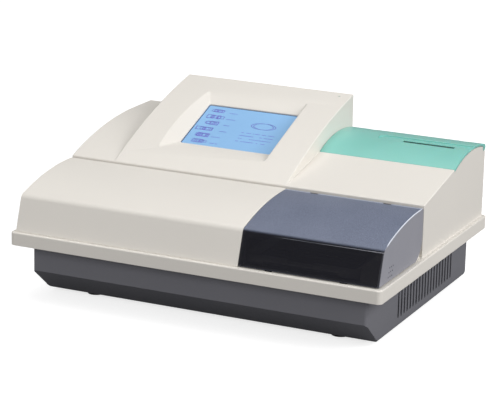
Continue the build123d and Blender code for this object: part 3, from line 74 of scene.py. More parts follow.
back = Vector((
    math.sin(azimuth) * math.cos(elevation),
    -math.cos(azimuth) * math.cos(elevation),
    math.sin(elevation),
))
level_right = Vector((math.cos(azimuth), math.sin(azimuth), 0))
level_up = back.cross(level_right)
right_hand = level_right * math.cos(roll) + level_up * math.sin(roll)
up = level_up * math.cos(roll) - level_right * math.sin(roll)
aim = Matrix((right_hand, up, back)).transposed().to_4x4()

camera_data = bpy.data.cameras.new("camera")
camera_data.sensor_width = sensor_mm
camera_data.lens = lens_mm
camera_data.shift_x = shift_right
camera_data.shift_y = shift_up
camera_data.clip_start = nearest
camera_data.clip_end = furthest
camera = bpy.data.objects.new("camera", camera_data)
camera.matrix_world = Matrix.Translation(camera_place) @ aim
bpy.context.scene.collection.objects.link(camera)
bpy.context.scene.camera = camera
bpy.context.scene.view_settings.view_transform = "Standard"
print("camera at", tuple(round(v, 3) for v in camera.location))

# %% [markdown]
# ## Sums with sockets
#
# A finish is a small machine of nodes. Written out one by one, the nodes that only
# do sums hide what the sum is for. The class Wire wraps one output socket and
# gives it the usual signs of arithmetic, so that `1 - grain * 0.2` adds its own
# Math nodes. Each sign has its reflected form, for the number that comes first.

# %% Wires
class Wire:
    """A node's output, which sums can be done with."""

    def __init__(self, owner, socket):
        self.owner = owner
        self.socket = socket

    def __add__(self, other):
        return self.owner.maths("ADD", self, other)

    def __radd__(self, other):
        return self.owner.maths("ADD", other, self)

    def __sub__(self, other):
        return self.owner.maths("SUBTRACT", self, other)

    def __rsub__(self, other):
        return self.owner.maths("SUBTRACT", other, self)

    def __mul__(self, other):
        return self.owner.maths("MULTIPLY", self, other)

    def __rmul__(self, other):
        return self.owner.maths("MULTIPLY", other, self)

    def __truediv__(self, other):
        return self.owner.maths("DIVIDE", self, other)

    def __rtruediv__(self, other):
        return self.owner.maths("DIVIDE", other, self)

    def above(self, low, high):
        """0 below low, 1 above high, and a smooth step between."""
        settings = {"interpolation_type": "SMOOTHSTEP"}
        sockets = {"Value": self, "From Min": low, "From Max": high}
        return self.owner.add("ShaderNodeMapRange", settings, sockets)["Result"]

    def clamped(self):
        """The value, kept between 0 and 1."""
        return self.owner.add("ShaderNodeClamp", {}, {"Value": self})["Result"]


def picked(sockets, name):
    """The socket in use that has this name, or the one with this number."""
    if isinstance(name, int):
        return sockets[name]
    return next(socket for socket in sockets if socket.name == name and socket.enabled)


class Made:
    """A node just added, whose outputs are read by name as wires."""

    def __init__(self, owner, node):
        self.owner = owner
        self.node = node

    def __getitem__(self, name):
        return Wire(self.owner, picked(self.node.outputs, name))


print("a wire knows", [name for name in vars(Wire) if not name.startswith("__")])

# %% [markdown]
# ## One method for every other node
#
# Materials, the world and Geometry Nodes all keep their nodes in a tree, and any
# node is made in the same three moves: add it, set its settings, then give its
# sockets a value or a link. The class Tree has one method for that, so the rest of
# the lesson only says what each node is for.

# %% Trees
class Tree:
    """A tree of nodes that grows by one method."""

    def add(self, kind, settings=None, sockets=None):
        """Adds a node, sets its settings first, then its sockets' values or links."""
        node = self.tree.nodes.new(kind)
        for name, value in (settings or {}).items():
            setattr(node, name, value)
        for name, value in (sockets or {}).items():
            socket = picked(node.inputs, name)
            if isinstance(value, Wire):
                self.tree.links.new(value.socket, socket)
            elif socket.type == "RGBA":
                socket.default_value = (*value, 1)
            else:
                socket.default_value = value
        return Made(self, node)

    def maths(self, operation, first, second):
        """One Math node for two values."""
        sockets = {0: first, 1: second}
        return self.add("ShaderNodeMath", {"operation": operation}, sockets)["Value"]


print("a tree grows by", Tree.add.__doc__)

# %% [markdown]
# ## A finish
#
# Every finish here is one Principled shader, fed by a few sums. What is the same
# all over a surface, such as a coat, is set on the shader's own sockets. What
# changes over it is linked. All patterns start from the object's own coordinates,
# so they stay in place when a lid or a carriage moves.

# %% Finishes
def fixed_sockets(fixed):
    """Turns names such as coat_weight into the shader's own names."""
    return {key.replace("_", " ").title().replace("Ior", "IOR"): v for key, v in fixed.items()}


def dimmed(color, share):
    """The same colour, darker or lighter by a share."""
    return tuple(min(1.0, c * share) for c in color)


class Finish(Tree):
    """One material, with a Principled shader to feed."""

    def __init__(self, name, **fixed):
        self.material = bpy.data.materials.new(name)
        self.material.use_nodes = True
        self.tree = self.material.node_tree
        self.tree.nodes.clear()
        made = self.add("ShaderNodeBsdfPrincipled", {}, fixed_sockets(fixed))
        self.shader = made.node
        self.add("ShaderNodeOutputMaterial", {}, {"Surface": made["BSDF"]})
        self.place = self.add("ShaderNodeTexCoord")["Object"]

    def feed(self, **values):
        """Links wires to the shader, with spaces written as underscores."""
        for name, value in values.items():
            self.tree.links.new(value.socket, self.shader.inputs[name.replace("_", " ")])

    def noise(self, lumps, detail=3.0):
        """Even noise from 0 to 1, at this many lumps to a metre."""
        sockets = {"Vector": self.place, "Scale": lumps, "Detail": detail}
        return self.add("ShaderNodeTexNoise", {"noise_dimensions": "3D"}, sockets)["Fac"]

    def between(self, amount, first, second):
        """A colour between two colours, each a constant or a wire."""
        sockets = {"Factor": amount, "A": first, "B": second}
        return self.add("ShaderNodeMix", {"data_type": "RGBA"}, sockets)["Result"]

    def bump(self, height, distance):
        """A bumped normal from a height, this many metres deep."""
        sockets = {"Height": height, "Distance": distance}
        return self.add("ShaderNodeBump", {}, sockets)["Normal"]


print("a finish can", [name for name in vars(Finish) if not name.startswith("__")])

# %% [markdown]
# ## Moulded plastic
#
# Most of the reader is moulded plastic. A real moulding isn't one flat colour: the
# mould is spark-eroded, which leaves a very fine even grain, and the surface shifts
# a little in shade and gloss over a hand's width. A picture of the grain would
# need unwrapped faces, so noise makes it instead. One function makes all of the
# plain mouldings: its grain is a bump from fine noise, and two slower noises vary
# the colour and the roughness.

# %% Moulded plastic
hand_lumps, finger_lumps = 9.0, 260.0
mould_grain = 0.00004


def moulded(name, color, roughness, variation, lumps=1400):
    """A moulding's finish: fine grain, and slow shifts of shade and gloss."""
    finish = Finish(name)
    broad = finish.noise(hand_lumps, 2.0)
    fine = finish.noise(finger_lumps)
    grain = finish.noise(lumps, 2.0)
    shade = (broad * 0.7 + fine * 0.3).clamped()
    finish.feed(
        Base_Color=finish.between(shade, dimmed(color, 1 - variation), dimmed(color, 1 + variation)),
        Roughness=(broad * 0.08 + fine * 0.06 + (roughness - 0.07)).clamped(),
        Normal=finish.bump(grain, mould_grain),
    )
    return finish.material


cream = moulded("cream_moulding", (0.78, 0.745, 0.69), 0.48, 0.02)
grey = moulded("grey_moulding", (0.17, 0.17, 0.19), 0.5, 0.06)
black = moulded("black_moulding", (0.018, 0.018, 0.02), 0.45, 0.15)
soft_black = moulded("soft_rubber", (0.016, 0.016, 0.017), 0.75, 0.2, lumps=900)
lamp_green = moulded("small_green_lens", (0.55, 0.62, 0.55), 0.2, 0.05)
jacket = moulded("guide_jacket", (0.02, 0.02, 0.022), 0.35, 0.1)
mouldings = (cream, grey, black, soft_black, lamp_green, jacket)
print("plain mouldings:", [material.name for material in mouldings])

# %% [markdown]
# ## Metals
#
# Under the lid are steel sheet, ground rods, milled brackets and bronze bushes.
# Brushed metal has long scratches in one direction. An anisotropic shader would
# give the streaked highlight but not the scratches, so we stretch noise instead:
# the place is scaled up across the brushing and hardly at all along it. The
# scratches vary the roughness a lot, the colour a little and the bump very slightly.

# %% Metals
scratches_across, scratches_along = 900, 12
scratch_depth = 0.000006


def brushed(name, color, along, roughness, scratch=0.12):
    """Metal with fine scratches along one of the model's directions."""
    finish = Finish(name, metallic=1.0)
    stretch = tuple(scratches_along if axis == along else scratches_across for axis in "XYZ")
    mapped = finish.add("ShaderNodeMapping", {}, {"Vector": finish.place, "Scale": stretch})["Vector"]
    sockets = {"Vector": mapped, "Scale": 1.0, "Detail": 3.0}
    lines = finish.add("ShaderNodeTexNoise", {"noise_dimensions": "3D"}, sockets)["Fac"]
    cloud = finish.noise(30.0, 2.0)
    finish.feed(
        Base_Color=finish.between(lines, dimmed(color, 0.86), dimmed(color, 1.08)),
        Roughness=(lines * scratch * 2 + cloud * 0.1 + (roughness - scratch - 0.05)).clamped(),
        Normal=finish.bump(lines, scratch_depth),
    )
    return finish.material


steel = brushed("brushed_sheet", (0.56, 0.56, 0.57), "X", 0.32)
ground_steel = brushed("ground_bar", (0.72, 0.72, 0.73), "X", 0.14, scratch=0.05)
milled = brushed("milled_aluminium", (0.74, 0.75, 0.77), "Y", 0.34)
anodised = brushed("black_anodised", (0.035, 0.035, 0.04), "Y", 0.42)
bronze = brushed("sintered_bronze", (0.48, 0.33, 0.16), "X", 0.45)
print("metals:", [material.name for material in (steel, ground_steel, milled, anodised, bronze)])

# %% [markdown]
# ## The smoked lid
#
# The lid is smoked acrylic with three finishes in one moulding. Its top is etched,
# so it scatters light as a blue grey with a very fine sparkle. Its front is
# polished and nearly black, and lets a little of what stands behind it through.
# Its right side is a paler frosted panel, and a narrow strip along the hinge is
# paler too. Three materials on three groups of faces would meet in hard lines. The
# object's own normal says which way a face looks, and blends them over the rounded
# edges. Because that normal turns with the lid, the finish stays in place when the
# lid opens.

# %% Smoked acrylic
lid_low, lid_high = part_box("lid")
strip_width, strip_blur = 6.5 * MM, 0.4 * MM
strip_front = lid_high.y - strip_width
side_facing, top_facing = (0.6, 0.9), (0.45, 0.86)
# The rounded edge between the top and the right side gets a bright line, which is a painted highlight
# in the base colour; these numbers pick that edge by its normal.
highlight_starts, highlight_ends, highlight_rises = (0.2, 0.45), (0.85, 0.97), (0.2, 0.4)
strip_color = (0.36, 0.40, 0.50)
painted_highlight_color = (0.70, 0.74, 0.82)


def smoked_acrylic():
    """The lid's finish, chosen by which way each face looks."""
    finish = Finish("smoked_acrylic", ior=1.49)
    normal = finish.add("ShaderNodeTexCoord")["Normal"]
    facing = finish.add("ShaderNodeSeparateXYZ", {}, {"Vector": normal})
    place = finish.add("ShaderNodeSeparateXYZ", {}, {"Vector": finish.place})
    side = facing["X"].above(*side_facing)
    top = facing["Z"].above(*top_facing)
    strip = place["Y"].above(strip_front, strip_front + strip_blur) * top
    # The mask of the painted highlight along the top's right edge, chosen by which way the face
    # looks.
    past_highlight = facing["X"].above(*highlight_ends)
    edge = facing["X"].above(*highlight_starts) * (1 - past_highlight) * facing["Z"].above(*highlight_rises)
    sparkle = finish.noise(1500.0, 1.0)
    cloud = finish.noise(28.0)
    etched = (sparkle.above(0.35, 0.75) * 0.7 + cloud * 0.3).clamped()
    etched_color = finish.between(etched, (0.095, 0.115, 0.175), (0.235, 0.265, 0.36))
    polished_color = finish.between(cloud, (0.006, 0.006, 0.011), (0.011, 0.011, 0.019))
    frosted_color = finish.between(cloud, (0.29, 0.29, 0.33), (0.34, 0.34, 0.38))
    mixed = finish.between(top, polished_color, etched_color)
    mixed = finish.between(strip, mixed, strip_color)
    mixed = finish.between(side, mixed, frosted_color)
    # Mixes the painted highlight's pale colour into the base colour along that edge.
    mixed = finish.between(edge, mixed, painted_highlight_color)
    finish.feed(
        Base_Color=mixed,
        Roughness=(top * 0.38 + side * 0.32 + 0.1).clamped(),
        Alpha=(top * 0.22 + side * 0.26 + 0.72).clamped(),
        Normal=finish.bump(sparkle * (top + side).clamped(), 0.00003),
    )
    return finish.material


smoked = smoked_acrylic()
print(smoked.name, "has", len(smoked.node_tree.nodes), "nodes")

# %% [markdown]
# ## The green printer cover
#
# The printer cover is a thin shell of milky green plastic with a silky gloss. It
# could be glass with a volume in it, which is slow and noisy. A touch of subsurface
# scattering softens its shading enough, and a thin coat gives the long highlight
# along its crest.

# %% Milky green
def milky_green():
    """A slightly translucent, silky green moulding."""
    finish = Finish(
        "milky_green", subsurface_weight=0.12, subsurface_scale=0.004,
        coat_weight=0.25, coat_roughness=0.25, ior=1.5,
    )
    broad = finish.noise(14.0, 2.0)
    grain = finish.noise(1600.0, 2.0)
    finish.feed(
        Base_Color=finish.between(broad, (0.20, 0.55, 0.48), (0.25, 0.62, 0.55)),
        Roughness=(broad * 0.1 + 0.3).clamped(),
        Normal=finish.bump(grain, 0.00002),
    )
    return finish.material


green = milky_green()
print(green.name, "has", len(green.node_tree.nodes), "nodes")

# %% [markdown]
# ## Glass
#
# The optics have clear lenses, filters with a violet coating and a small bulb.
# Rendered as real glass, small parts in a dark bay turn black. A thin tinted skin
# that is partly see-through keeps their colour, and a slow noise makes its gloss a
# little uneven, as if wiped.

# %% Glass
def clear_glass(name, color, alpha):
    """Glass as a thin tinted skin, uneven in gloss."""
    finish = Finish(name, ior=1.5)
    wiped = finish.noise(40.0, 4.0)
    finish.feed(
        Base_Color=finish.between(wiped, dimmed(color, 0.95), dimmed(color, 1.05)),
        Roughness=(wiped * 0.08 + 0.05).clamped(),
        Alpha=(wiped * 0.04 + (alpha - 0.02)).clamped(),
    )
    return finish.material


lens_glass = clear_glass("lens_glass", (0.80, 0.86, 0.95), 0.4)
filter_glass = clear_glass("coated_filter", (0.40, 0.16, 0.52), 0.75)
bulb_glass = clear_glass("bulb_glass", (0.92, 0.90, 0.84), 0.45)
print("glass:", [material.name for material in (lens_glass, filter_glass, bulb_glass)])

# %% [markdown]
# ## Circuit board
#
# A board is green lacquer over copper tracks, which show as slightly raised and
# paler lines. Modelled tracks would be thousands of faces that nobody sees. A brick
# pattern has lines at right angles, and a noise breaks it into groups.

# %% Circuit board
def solder_mask():
    """Green lacquer over copper tracks, which run in right angles."""
    finish = Finish("solder_mask", coat_weight=0.4, coat_roughness=0.15)
    bricks = finish.add(
        "ShaderNodeTexBrick",
        {"offset": 0.37, "squash": 1.6, "squash_frequency": 3},
        {"Vector": finish.place, "Scale": 120.0, "Mortar Size": 0.05, "Brick Width": 1.3},
    )["Fac"]
    cloud = finish.noise(60.0)
    tracks = (bricks * cloud.above(0.42, 0.5)).clamped()
    finish.feed(
        Base_Color=finish.between(tracks, (0.012, 0.10, 0.045), (0.05, 0.21, 0.09)),
        Roughness=(cloud * 0.2 + 0.3).clamped(),
        Normal=finish.bump(tracks, 0.00003),
    )
    return finish.material


board_green = solder_mask()
print(board_green.name, "has", len(board_green.node_tree.nodes), "nodes")

# %% [markdown]
# ## The paper roll
#
# The printer's paper is rolled on a core, and its two ends show the turns as fine
# rings. A wave texture makes rings round the object's zero point, so a Mapping node
# first moves that point to the roll's own middle.

# %% Rolled paper
def rolled_paper():
    """White paper whose ends show its turns as rings round the roll's middle."""
    finish = Finish("rolled_paper")
    low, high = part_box("paper_roll")
    centre = (low + high) / 2
    mapped = finish.add("ShaderNodeMapping", {}, {
        "Vector": finish.place, "Location": tuple(-centre),
    })["Vector"]
    rings = finish.add(
        "ShaderNodeTexWave",
        {"wave_type": "RINGS", "rings_direction": "X"},
        {"Vector": mapped, "Scale": 380.0, "Distortion": 0.6, "Detail": 1.0},
    )["Fac"]
    fibre = finish.noise(900.0, 4.0)
    shade = (rings * 0.5 + fibre * 0.5).clamped()
    finish.feed(
        Base_Color=finish.between(shade, (0.66, 0.65, 0.62), (0.84, 0.83, 0.80)),
        Roughness=(fibre * 0.2 + 0.6).clamped(),
        Normal=finish.bump(rings + fibre * 0.5, 0.00003),
    )
    return finish.material


paper = rolled_paper()
print(paper.name, "has", len(paper.node_tree.nodes), "nodes")

# %% [markdown]
# ## Clean copies with marked edges
#
# No moulding has a razor edge: the tool that cut the mould leaves a small radius,
# and that radius catches the light along every corner. A Bevel modifier can round
# the edges, but the packed meshes are loose triangles, which it can't follow. So
# the big mouldings are copied, their triangles are merged, and flat areas are
# joined into single faces. Then each edge that is sharper than 28 degrees gets a
# bevel weight, where both faces beside it have room for the radius.

# %% Clean copies
corner_angle = math.radians(28)
flat_angle = math.radians(0.4)
merge_distance = 0.001 * MM
least_face = 30 * MM * MM
least_edge = 1.2 * MM


def solid_from(node):
    """A clean copy of a packed node's mesh, with the edges to round marked."""
    mesh = nodes[node].data.copy()
    work = bmesh.new()
    work.from_mesh(mesh)
    bmesh.ops.remove_doubles(work, verts=work.verts, dist=merge_distance)
    bmesh.ops.dissolve_limit(work, angle_limit=flat_angle, verts=work.verts, edges=work.edges)
    marks = work.edges.layers.float.new("bevel_weight_edge")
    for edge in work.edges:
        sharp = edge.is_manifold and edge.calc_face_angle() > corner_angle
        edge.smooth = not sharp
        roomy = all(face.calc_area() > least_face for face in edge.link_faces)
        if sharp and roomy and edge.calc_length() > least_edge:
            edge[marks] = 1.0
    for face in work.faces:
        face.smooth = True
    work.to_mesh(mesh)
    work.free()
    return mesh


print("edges sharper than", round(math.degrees(corner_angle)), "degrees will be rounded")

# %% [markdown]
# ## Rounded mouldings
#
# The bevel turns each marked edge into a narrow round, and Weighted Normal keeps
# the large faces flat in their shading. Both are applied, so that a plain mesh is
# left, and each copy stands in for the node that it came from.

# %% Rounded mouldings
round_segments = 2


def settled(piece):
    """Applies a piece's modifiers, so that it is a plain mesh."""
    graph = bpy.context.evaluated_depsgraph_get()
    mesh = bpy.data.meshes.new_from_object(piece.evaluated_get(graph))
    piece.modifiers.clear()
    piece.data = mesh


def rounded(node, radius, finish, body):
    """A copy of a node with softly rounded edges, which stands in for it."""
    mesh = solid_from(node)
    mesh.materials.clear()
    mesh.materials.append(finish)
    piece = bpy.data.objects.new(node + "_moulding", mesh)
    bpy.context.scene.collection.objects.link(piece)
    bevel = piece.modifiers.new("edges", "BEVEL")
    bevel.width = radius
    bevel.segments = round_segments
    bevel.limit_method = "WEIGHT"
    bevel.use_clamp_overlap = False
    even = piece.modifiers.new("even_shading", "WEIGHTED_NORMAL")
    even.keep_sharp = True
    settled(piece)
    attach(piece, body)
    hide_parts(node)
    print(piece.name, len(piece.data.polygons), "faces")


rounded("top_housing", 0.9 * MM, cream, "instrument")
rounded("base_tray", 0.8 * MM, grey, "instrument")
rounded("optics_cover", 0.7 * MM, cream, "instrument")
rounded("lid", 0.9 * MM, smoked, "lid")
rounded("printer_cover", 0.5 * MM, green, "printer_cover")

# %% [markdown]
# ## The screen's glass
#
# The display glows pale blue behind its touch glass. Light from the lamps alone
# would make it look printed, and pure emission would make it look the same in the
# dark. The real one does both, so its colour is part surface and part glow, and a
# slow noise shifts it a little.

# %% Screen glass
def lit_screen():
    """A backlit blue display, a little uneven in its glow."""
    finish = Finish("lit_screen", coat_weight=0.3, coat_roughness=0.1, emission_strength=0.25)
    cloud = finish.noise(16.0, 2.0)
    shade = finish.between(cloud, (0.20, 0.38, 0.62), (0.24, 0.45, 0.72))
    finish.feed(Base_Color=shade, Emission_Color=shade, Roughness=(cloud * 0.1 + 0.2).clamped())
    return finish.material


screen_blue = lit_screen()
print(screen_blue.name, "has", len(screen_blue.node_tree.nodes), "nodes")

# %% [markdown]
# ## A finish for every other node
#
# The smaller parts keep the packed model's own shape and only need a finish. A
# line for each would hide which parts share one, so one table pairs each finish
# with the nodes that have it.

# %% Finishes of the smaller parts
finishes = {
    cream: ("bay_end_cover",),
    black: (
        "lid_hinge_brackets", "bay_liner", "carriage_motor", "home_sensor", "display_module",
        "fan_frame", "fan_rotor", "power_inlet", "power_switch", "power_rocker",
        "printer_frame", "paper_spindle", "printer_motor",
    ),
    soft_black: ("rubber_feet", "lid_bumpers", "platen_roller"),
    steel: (
        "case_screws", "lid_hinge_pins", "chassis_plate", "chassis_screws", "motor_shaft",
        "plate_clip", "filter_motor", "display_frame", "connector_panel", "serial_port",
        "usb_port", "cover_hinge_pins",
    ),
    ground_steel: ("guide_rods", "lead_screw"),
    milled: (
        "left_bracket", "right_bracket", "shaft_coupler", "plate_carrier", "filter_holder",
        "lamp_housing", "thermal_head",
    ),
    anodised: ("optics_arm", "detector_block", "filter_wheel"),
    bronze: ("screw_bearing", "slide_bushes", "drive_nut"),
    lens_glass: ("lenses", "photodiodes"),
    filter_glass: ("filters",),
    bulb_glass: ("lamp_bulb",),
    board_green: ("main_board", "power_supply"),
    paper: ("paper_roll",),
    jacket: ("light_guide",),
    lamp_green: ("power_lamp",),
    screen_blue: ("touch_panel",),
}
for material, group in finishes.items():
    for node in group:
        nodes[node].data.materials.clear()
        nodes[node].data.materials.append(material)
print(sum(len(group) for group in finishes.values()), "nodes have their finish")

# %% [markdown]
# ## Patterns
#
# The marks on the screen repeat by a rule. They could be placed one by one in a
# loop, but then each change of size means a new loop. Geometry Nodes keep the rule
# and its sizes apart. The class Pattern owns one such tree: its sizes are named
# inputs, and `piece` sets them on a modifier, reads the finished mesh and leaves a
# plain piece behind.

# %% Pattern
class Pattern(Tree):
    """A Geometry Nodes tree with named sizes, ending in one plain mesh."""

    def __init__(self, name, **sizes):
        self.tree = bpy.data.node_groups.new(name, "GeometryNodeTree")
        self.identifiers = {}
        for key, value in sizes.items():
            kind = "NodeSocketInt" if isinstance(value, int) else "NodeSocketFloat"
            socket = self.tree.interface.new_socket(key, in_out="INPUT", socket_type=kind)
            socket.default_value = value
            self.identifiers[key] = socket.identifier
        self.tree.interface.new_socket("Mesh", in_out="OUTPUT", socket_type="NodeSocketGeometry")
        self.given = self.add("NodeGroupInput")

    def __getitem__(self, key):
        return self.given[key]

    def swept(self, path, section):
        """A mesh that follows a curve with this section."""
        sockets = {"Curve": path, "Profile Curve": section}
        return self.add("GeometryNodeCurveToMesh", {}, sockets)["Mesh"]

    def repeated(self, points, shape, scale):
        """A copy of the shape on each point."""
        sockets = {"Points": points, "Instance": shape, "Scale": scale}
        return self.add("GeometryNodeInstanceOnPoints", {}, sockets)["Instances"]

    def end(self, shape, finish):
        """Turns instances into one mesh with one finish."""
        real = self.add("GeometryNodeRealizeInstances", {}, {"Geometry": shape})["Geometry"]
        sockets = {"Geometry": real, "Material": finish}
        painted = self.add("GeometryNodeSetMaterial", {}, sockets)["Geometry"]
        self.add("NodeGroupOutput", {}, {"Mesh": painted})

    def piece(self, name, body, slot, matrix, **sizes):
        """Makes the pattern with these sizes, places its mesh and lets it ride."""
        piece = bpy.data.objects.new(name, bpy.data.meshes.new(name))
        bpy.context.scene.collection.objects.link(piece)
        modifier = piece.modifiers.new("pattern", "NODES")
        modifier.node_group = self.tree
        for key, value in sizes.items():
            modifier[self.identifiers[key]] = value
        settled(piece)
        piece.data.transform(matrix)
        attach(piece, body)
        print(name, len(piece.data.polygons), "faces")


print("a pattern can", [name for name in vars(Pattern) if not name.startswith("__")])

# %% [markdown]
# ## Display ink and the screen's own plane
#
# The marks on the display are violet, and its border is a darker blue. Both glow a
# little, as pixels do. The screen leans back, so the marks are drawn on a level
# plane and then turned with one matrix, whose columns are the screen's own across,
# upward and outward directions.

# %% Ink and plane
def ink(name, color):
    """Display ink that glows a little, as pixels do."""
    finish = Finish(name, emission_strength=0.2, roughness=0.3)
    tone = finish.between(finish.noise(600.0), dimmed(color, 0.9), dimmed(color, 1.1))
    finish.feed(Base_Color=tone, Emission_Color=tone)
    return finish.material


violet = ink("violet_ink", (0.14, 0.14, 0.52))
border_blue = ink("border_ink", (0.04, 0.085, 0.20))

screen_tilt = math.radians(20.5)
glass_half = 0.9 * MM
mark_lift = 0.12 * MM
screen_low, screen_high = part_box("touch_panel")
across = Vector((1, 0, 0))
upward = Vector((0, math.cos(screen_tilt), math.sin(screen_tilt)))
outward = Vector((0, -math.sin(screen_tilt), math.cos(screen_tilt)))
screen_middle = (screen_low + screen_high) / 2 + outward * (glass_half + mark_lift)
screen_turn = Matrix((across, upward, outward)).transposed().to_4x4()


def on_screen(x, y):
    """The matrix of a place on the screen, in millimetres from its middle."""
    place = screen_middle + across * x * MM + upward * y * MM
    return Matrix.Translation(place) @ screen_turn


print("the screen's middle is at", tuple(round(v, 4) for v in screen_middle))

# %% [markdown]
# ## Rows of writing
#
# The screen shows a column of small drawings with short rows of writing beside
# them, and more rows on the right. The writing here says nothing: it is rows of
# bars whose lengths and gaps are random, with a fixed seed. A grid gives the
# places, a random value takes some away, and another stretches each bar.

# %% Rows of bars
bar_long, bar_tall = 1.5, 0.35
gap_share = 0.22
shortest_bar, longest_bar = 0.4, 1.25
length_seed = 7


def rows_of_bars():
    """Rows of short bars whose lengths and gaps are random, like writing."""
    rows = Pattern("rows_of_bars", columns=8, rows=3, wide=0.03, high=0.01, bar=0.002, seed=1)
    grid = rows.add("GeometryNodeMeshGrid", {}, {
        "Size X": rows["wide"], "Size Y": rows["high"],
        "Vertices X": rows["columns"], "Vertices Y": rows["rows"],
    })["Mesh"]
    gaps = rows.add("FunctionNodeRandomValue", {"data_type": "BOOLEAN"}, {
        "Probability": gap_share, "Seed": rows["seed"],
    })["Value"]
    kept = rows.add("GeometryNodeDeleteGeometry", {"domain": "POINT"}, {
        "Geometry": grid, "Selection": gaps,
    })["Geometry"]
    bar = rows.add("GeometryNodeMeshGrid", {}, {
        "Size X": rows["bar"] * bar_long, "Size Y": rows["bar"] * bar_tall,
        "Vertices X": 2, "Vertices Y": 2,
    })["Mesh"]
    length = rows.add("FunctionNodeRandomValue", {"data_type": "FLOAT"}, {
        "Min": shortest_bar, "Max": longest_bar, "Seed": rows["seed"] + length_seed,
    })["Value"]
    scale = rows.add("ShaderNodeCombineXYZ", {}, {"X": length, "Y": 1.0, "Z": 1.0})["Vector"]
    rows.end(rows.repeated(kept, bar, scale), violet)
    return rows


bars = rows_of_bars()
print(bars.tree.name, "has the sizes", list(bars.identifiers))

# %% [markdown]
# ## Small outline drawings
#
# Each row starts with a little outline drawing of lab ware. Ours is generic: a few
# overlapping box outlines of random size in a row. One quadrilateral curve is
# swept by a thin ring and repeated along a line of points.

# %% Heap of boxes
box_tall = 0.7
ring_sides = 4
smallest_box, largest_box = (0.5, 0.5, 0.2), (1.5, 1.3, 0.2)


def heap_of_boxes():
    """Small overlapping box outlines in a row, like an outline drawing."""
    heap = Pattern("heap_of_boxes", count=5, wide=0.008, side=0.004, line=0.00035, seed=1)
    start = heap.add("ShaderNodeCombineXYZ", {}, {"X": heap["wide"] * -0.5})["Vector"]
    pitch = heap["wide"] / (heap["count"] - 1)
    step = heap.add("ShaderNodeCombineXYZ", {}, {"X": pitch})["Vector"]
    line = heap.add("GeometryNodeMeshLine", {}, {
        "Count": heap["count"], "Start Location": start, "Offset": step,
    })["Mesh"]
    box = heap.add("GeometryNodeCurvePrimitiveQuadrilateral", {}, {
        "Width": heap["side"], "Height": heap["side"] * box_tall,
    })["Curve"]
    ring = heap.add("GeometryNodeCurvePrimitiveCircle", {"mode": "RADIUS"}, {
        "Resolution": ring_sides, "Radius": heap["line"],
    })["Curve"]
    size = heap.add("FunctionNodeRandomValue", {"data_type": "FLOAT_VECTOR"}, {
        "Min": smallest_box, "Max": largest_box, "Seed": heap["seed"],
    })["Value"]
    heap.end(heap.repeated(line, heap.swept(box, ring), size), violet)
    return heap


boxes = heap_of_boxes()
print(boxes.tree.name, "has the sizes", list(boxes.identifiers))

# %% [markdown]
# ## The menu
#
# The drawings stand in a column on the left, each a little shifted, with one label
# beside it. The longer writing fills the lower right. All sizes are millimetres
# from the screen's middle.

# %% Menu
menu_rows, menu_pitch = 6, 13.0
drawing_x, drawing_stagger = -42.0, 1.5
label_x, label_stagger, label_drop = -22.0, 2, 2
writing_x, writing_y = 26, -14
one_row = 0.001 * MM
for row in range(menu_rows):
    y = (menu_rows - 1) * menu_pitch / 2 - row * menu_pitch
    boxes.piece(
        f"screen_drawing_{row}", "instrument", "screen_glass",
        on_screen(drawing_x + (row % 3) * drawing_stagger, y),
        seed=row + 3, wide=(9 + row % 2 * 4) * MM, side=7.5 * MM, count=6, line=0.5 * MM,
    )
    bars.piece(
        f"screen_label_{row}", "instrument", "screen_glass",
        on_screen(label_x + (row % 2) * label_stagger, y - label_drop),
        seed=row + 20, columns=5, rows=1, wide=9.0 * MM, high=one_row, bar=2.3 * MM,
    )
bars.piece(
    "screen_writing", "instrument", "screen_glass", on_screen(writing_x, writing_y),
    seed=5, columns=15, rows=4, wide=40 * MM, high=18 * MM, bar=2.4 * MM,
)

# %% [markdown]
# ## Two ovals
#
# Above the writing stand two thin ovals, side by side and overlapping. A circle
# swept by a thin ring makes a hoop, and the copies on the points are squeezed into
# ovals by their scale.

# %% Ovals
squeeze = (1.0, 0.45, 0.2)
hoop_sides = 48


def ovals():
    """Rings squeezed into ovals, one beside another."""
    tree = Pattern("ovals", count=2, wide=0.014, line=0.0005, step=0.003)
    circle = tree.add("GeometryNodeCurvePrimitiveCircle", {"mode": "RADIUS"}, {
        "Resolution": hoop_sides, "Radius": tree["wide"],
    })["Curve"]
    ring = tree.add("GeometryNodeCurvePrimitiveCircle", {"mode": "RADIUS"}, {
        "Resolution": ring_sides, "Radius": tree["line"],
    })["Curve"]
    offset = tree.add("ShaderNodeCombineXYZ", {}, {"X": tree["step"]})["Vector"]
    line = tree.add("GeometryNodeMeshLine", {}, {"Count": tree["count"], "Offset": offset})["Mesh"]
    tree.end(tree.repeated(line, tree.swept(circle, ring), squeeze), violet)
    return tree


ovals().piece("screen_ovals", "instrument", "screen_glass", on_screen(24, 12))

# %% [markdown]
# ## The display's border
#
# A thin darker line runs round the lit area, where the display's own edge shows
# through the glass. It is a flat band swept round a quadrilateral of the display's
# size.

# %% Border
window_wide, window_high = 117 * MM, 85 * MM
border_line, border_thick = 1.2 * MM, 0.1 * MM


def window_border():
    """A thin rectangle of darker display round the lit area."""
    tree = Pattern("window_border", wide=window_wide, high=window_high, line=border_line)
    outline = tree.add("GeometryNodeCurvePrimitiveQuadrilateral", {}, {
        "Width": tree["wide"] - tree["line"], "Height": tree["high"] - tree["line"],
    })["Curve"]
    section = tree.add("GeometryNodeCurvePrimitiveQuadrilateral", {}, {
        "Width": tree["line"], "Height": border_thick,
    })["Curve"]
    tree.end(tree.swept(outline, section), border_blue)
    return tree


window_border().piece("screen_border", "instrument", "screen_glass", on_screen(0, 0))

# %% [markdown]
# ## White for the camera, soft for the object
#
# The photograph has a pure white background. Strong light could make one, but it
# would wash out the cream housing too. So the world and the floor look white only
# to the rays that come from the camera or pass through clear parts, and give the
# object much less light than that.

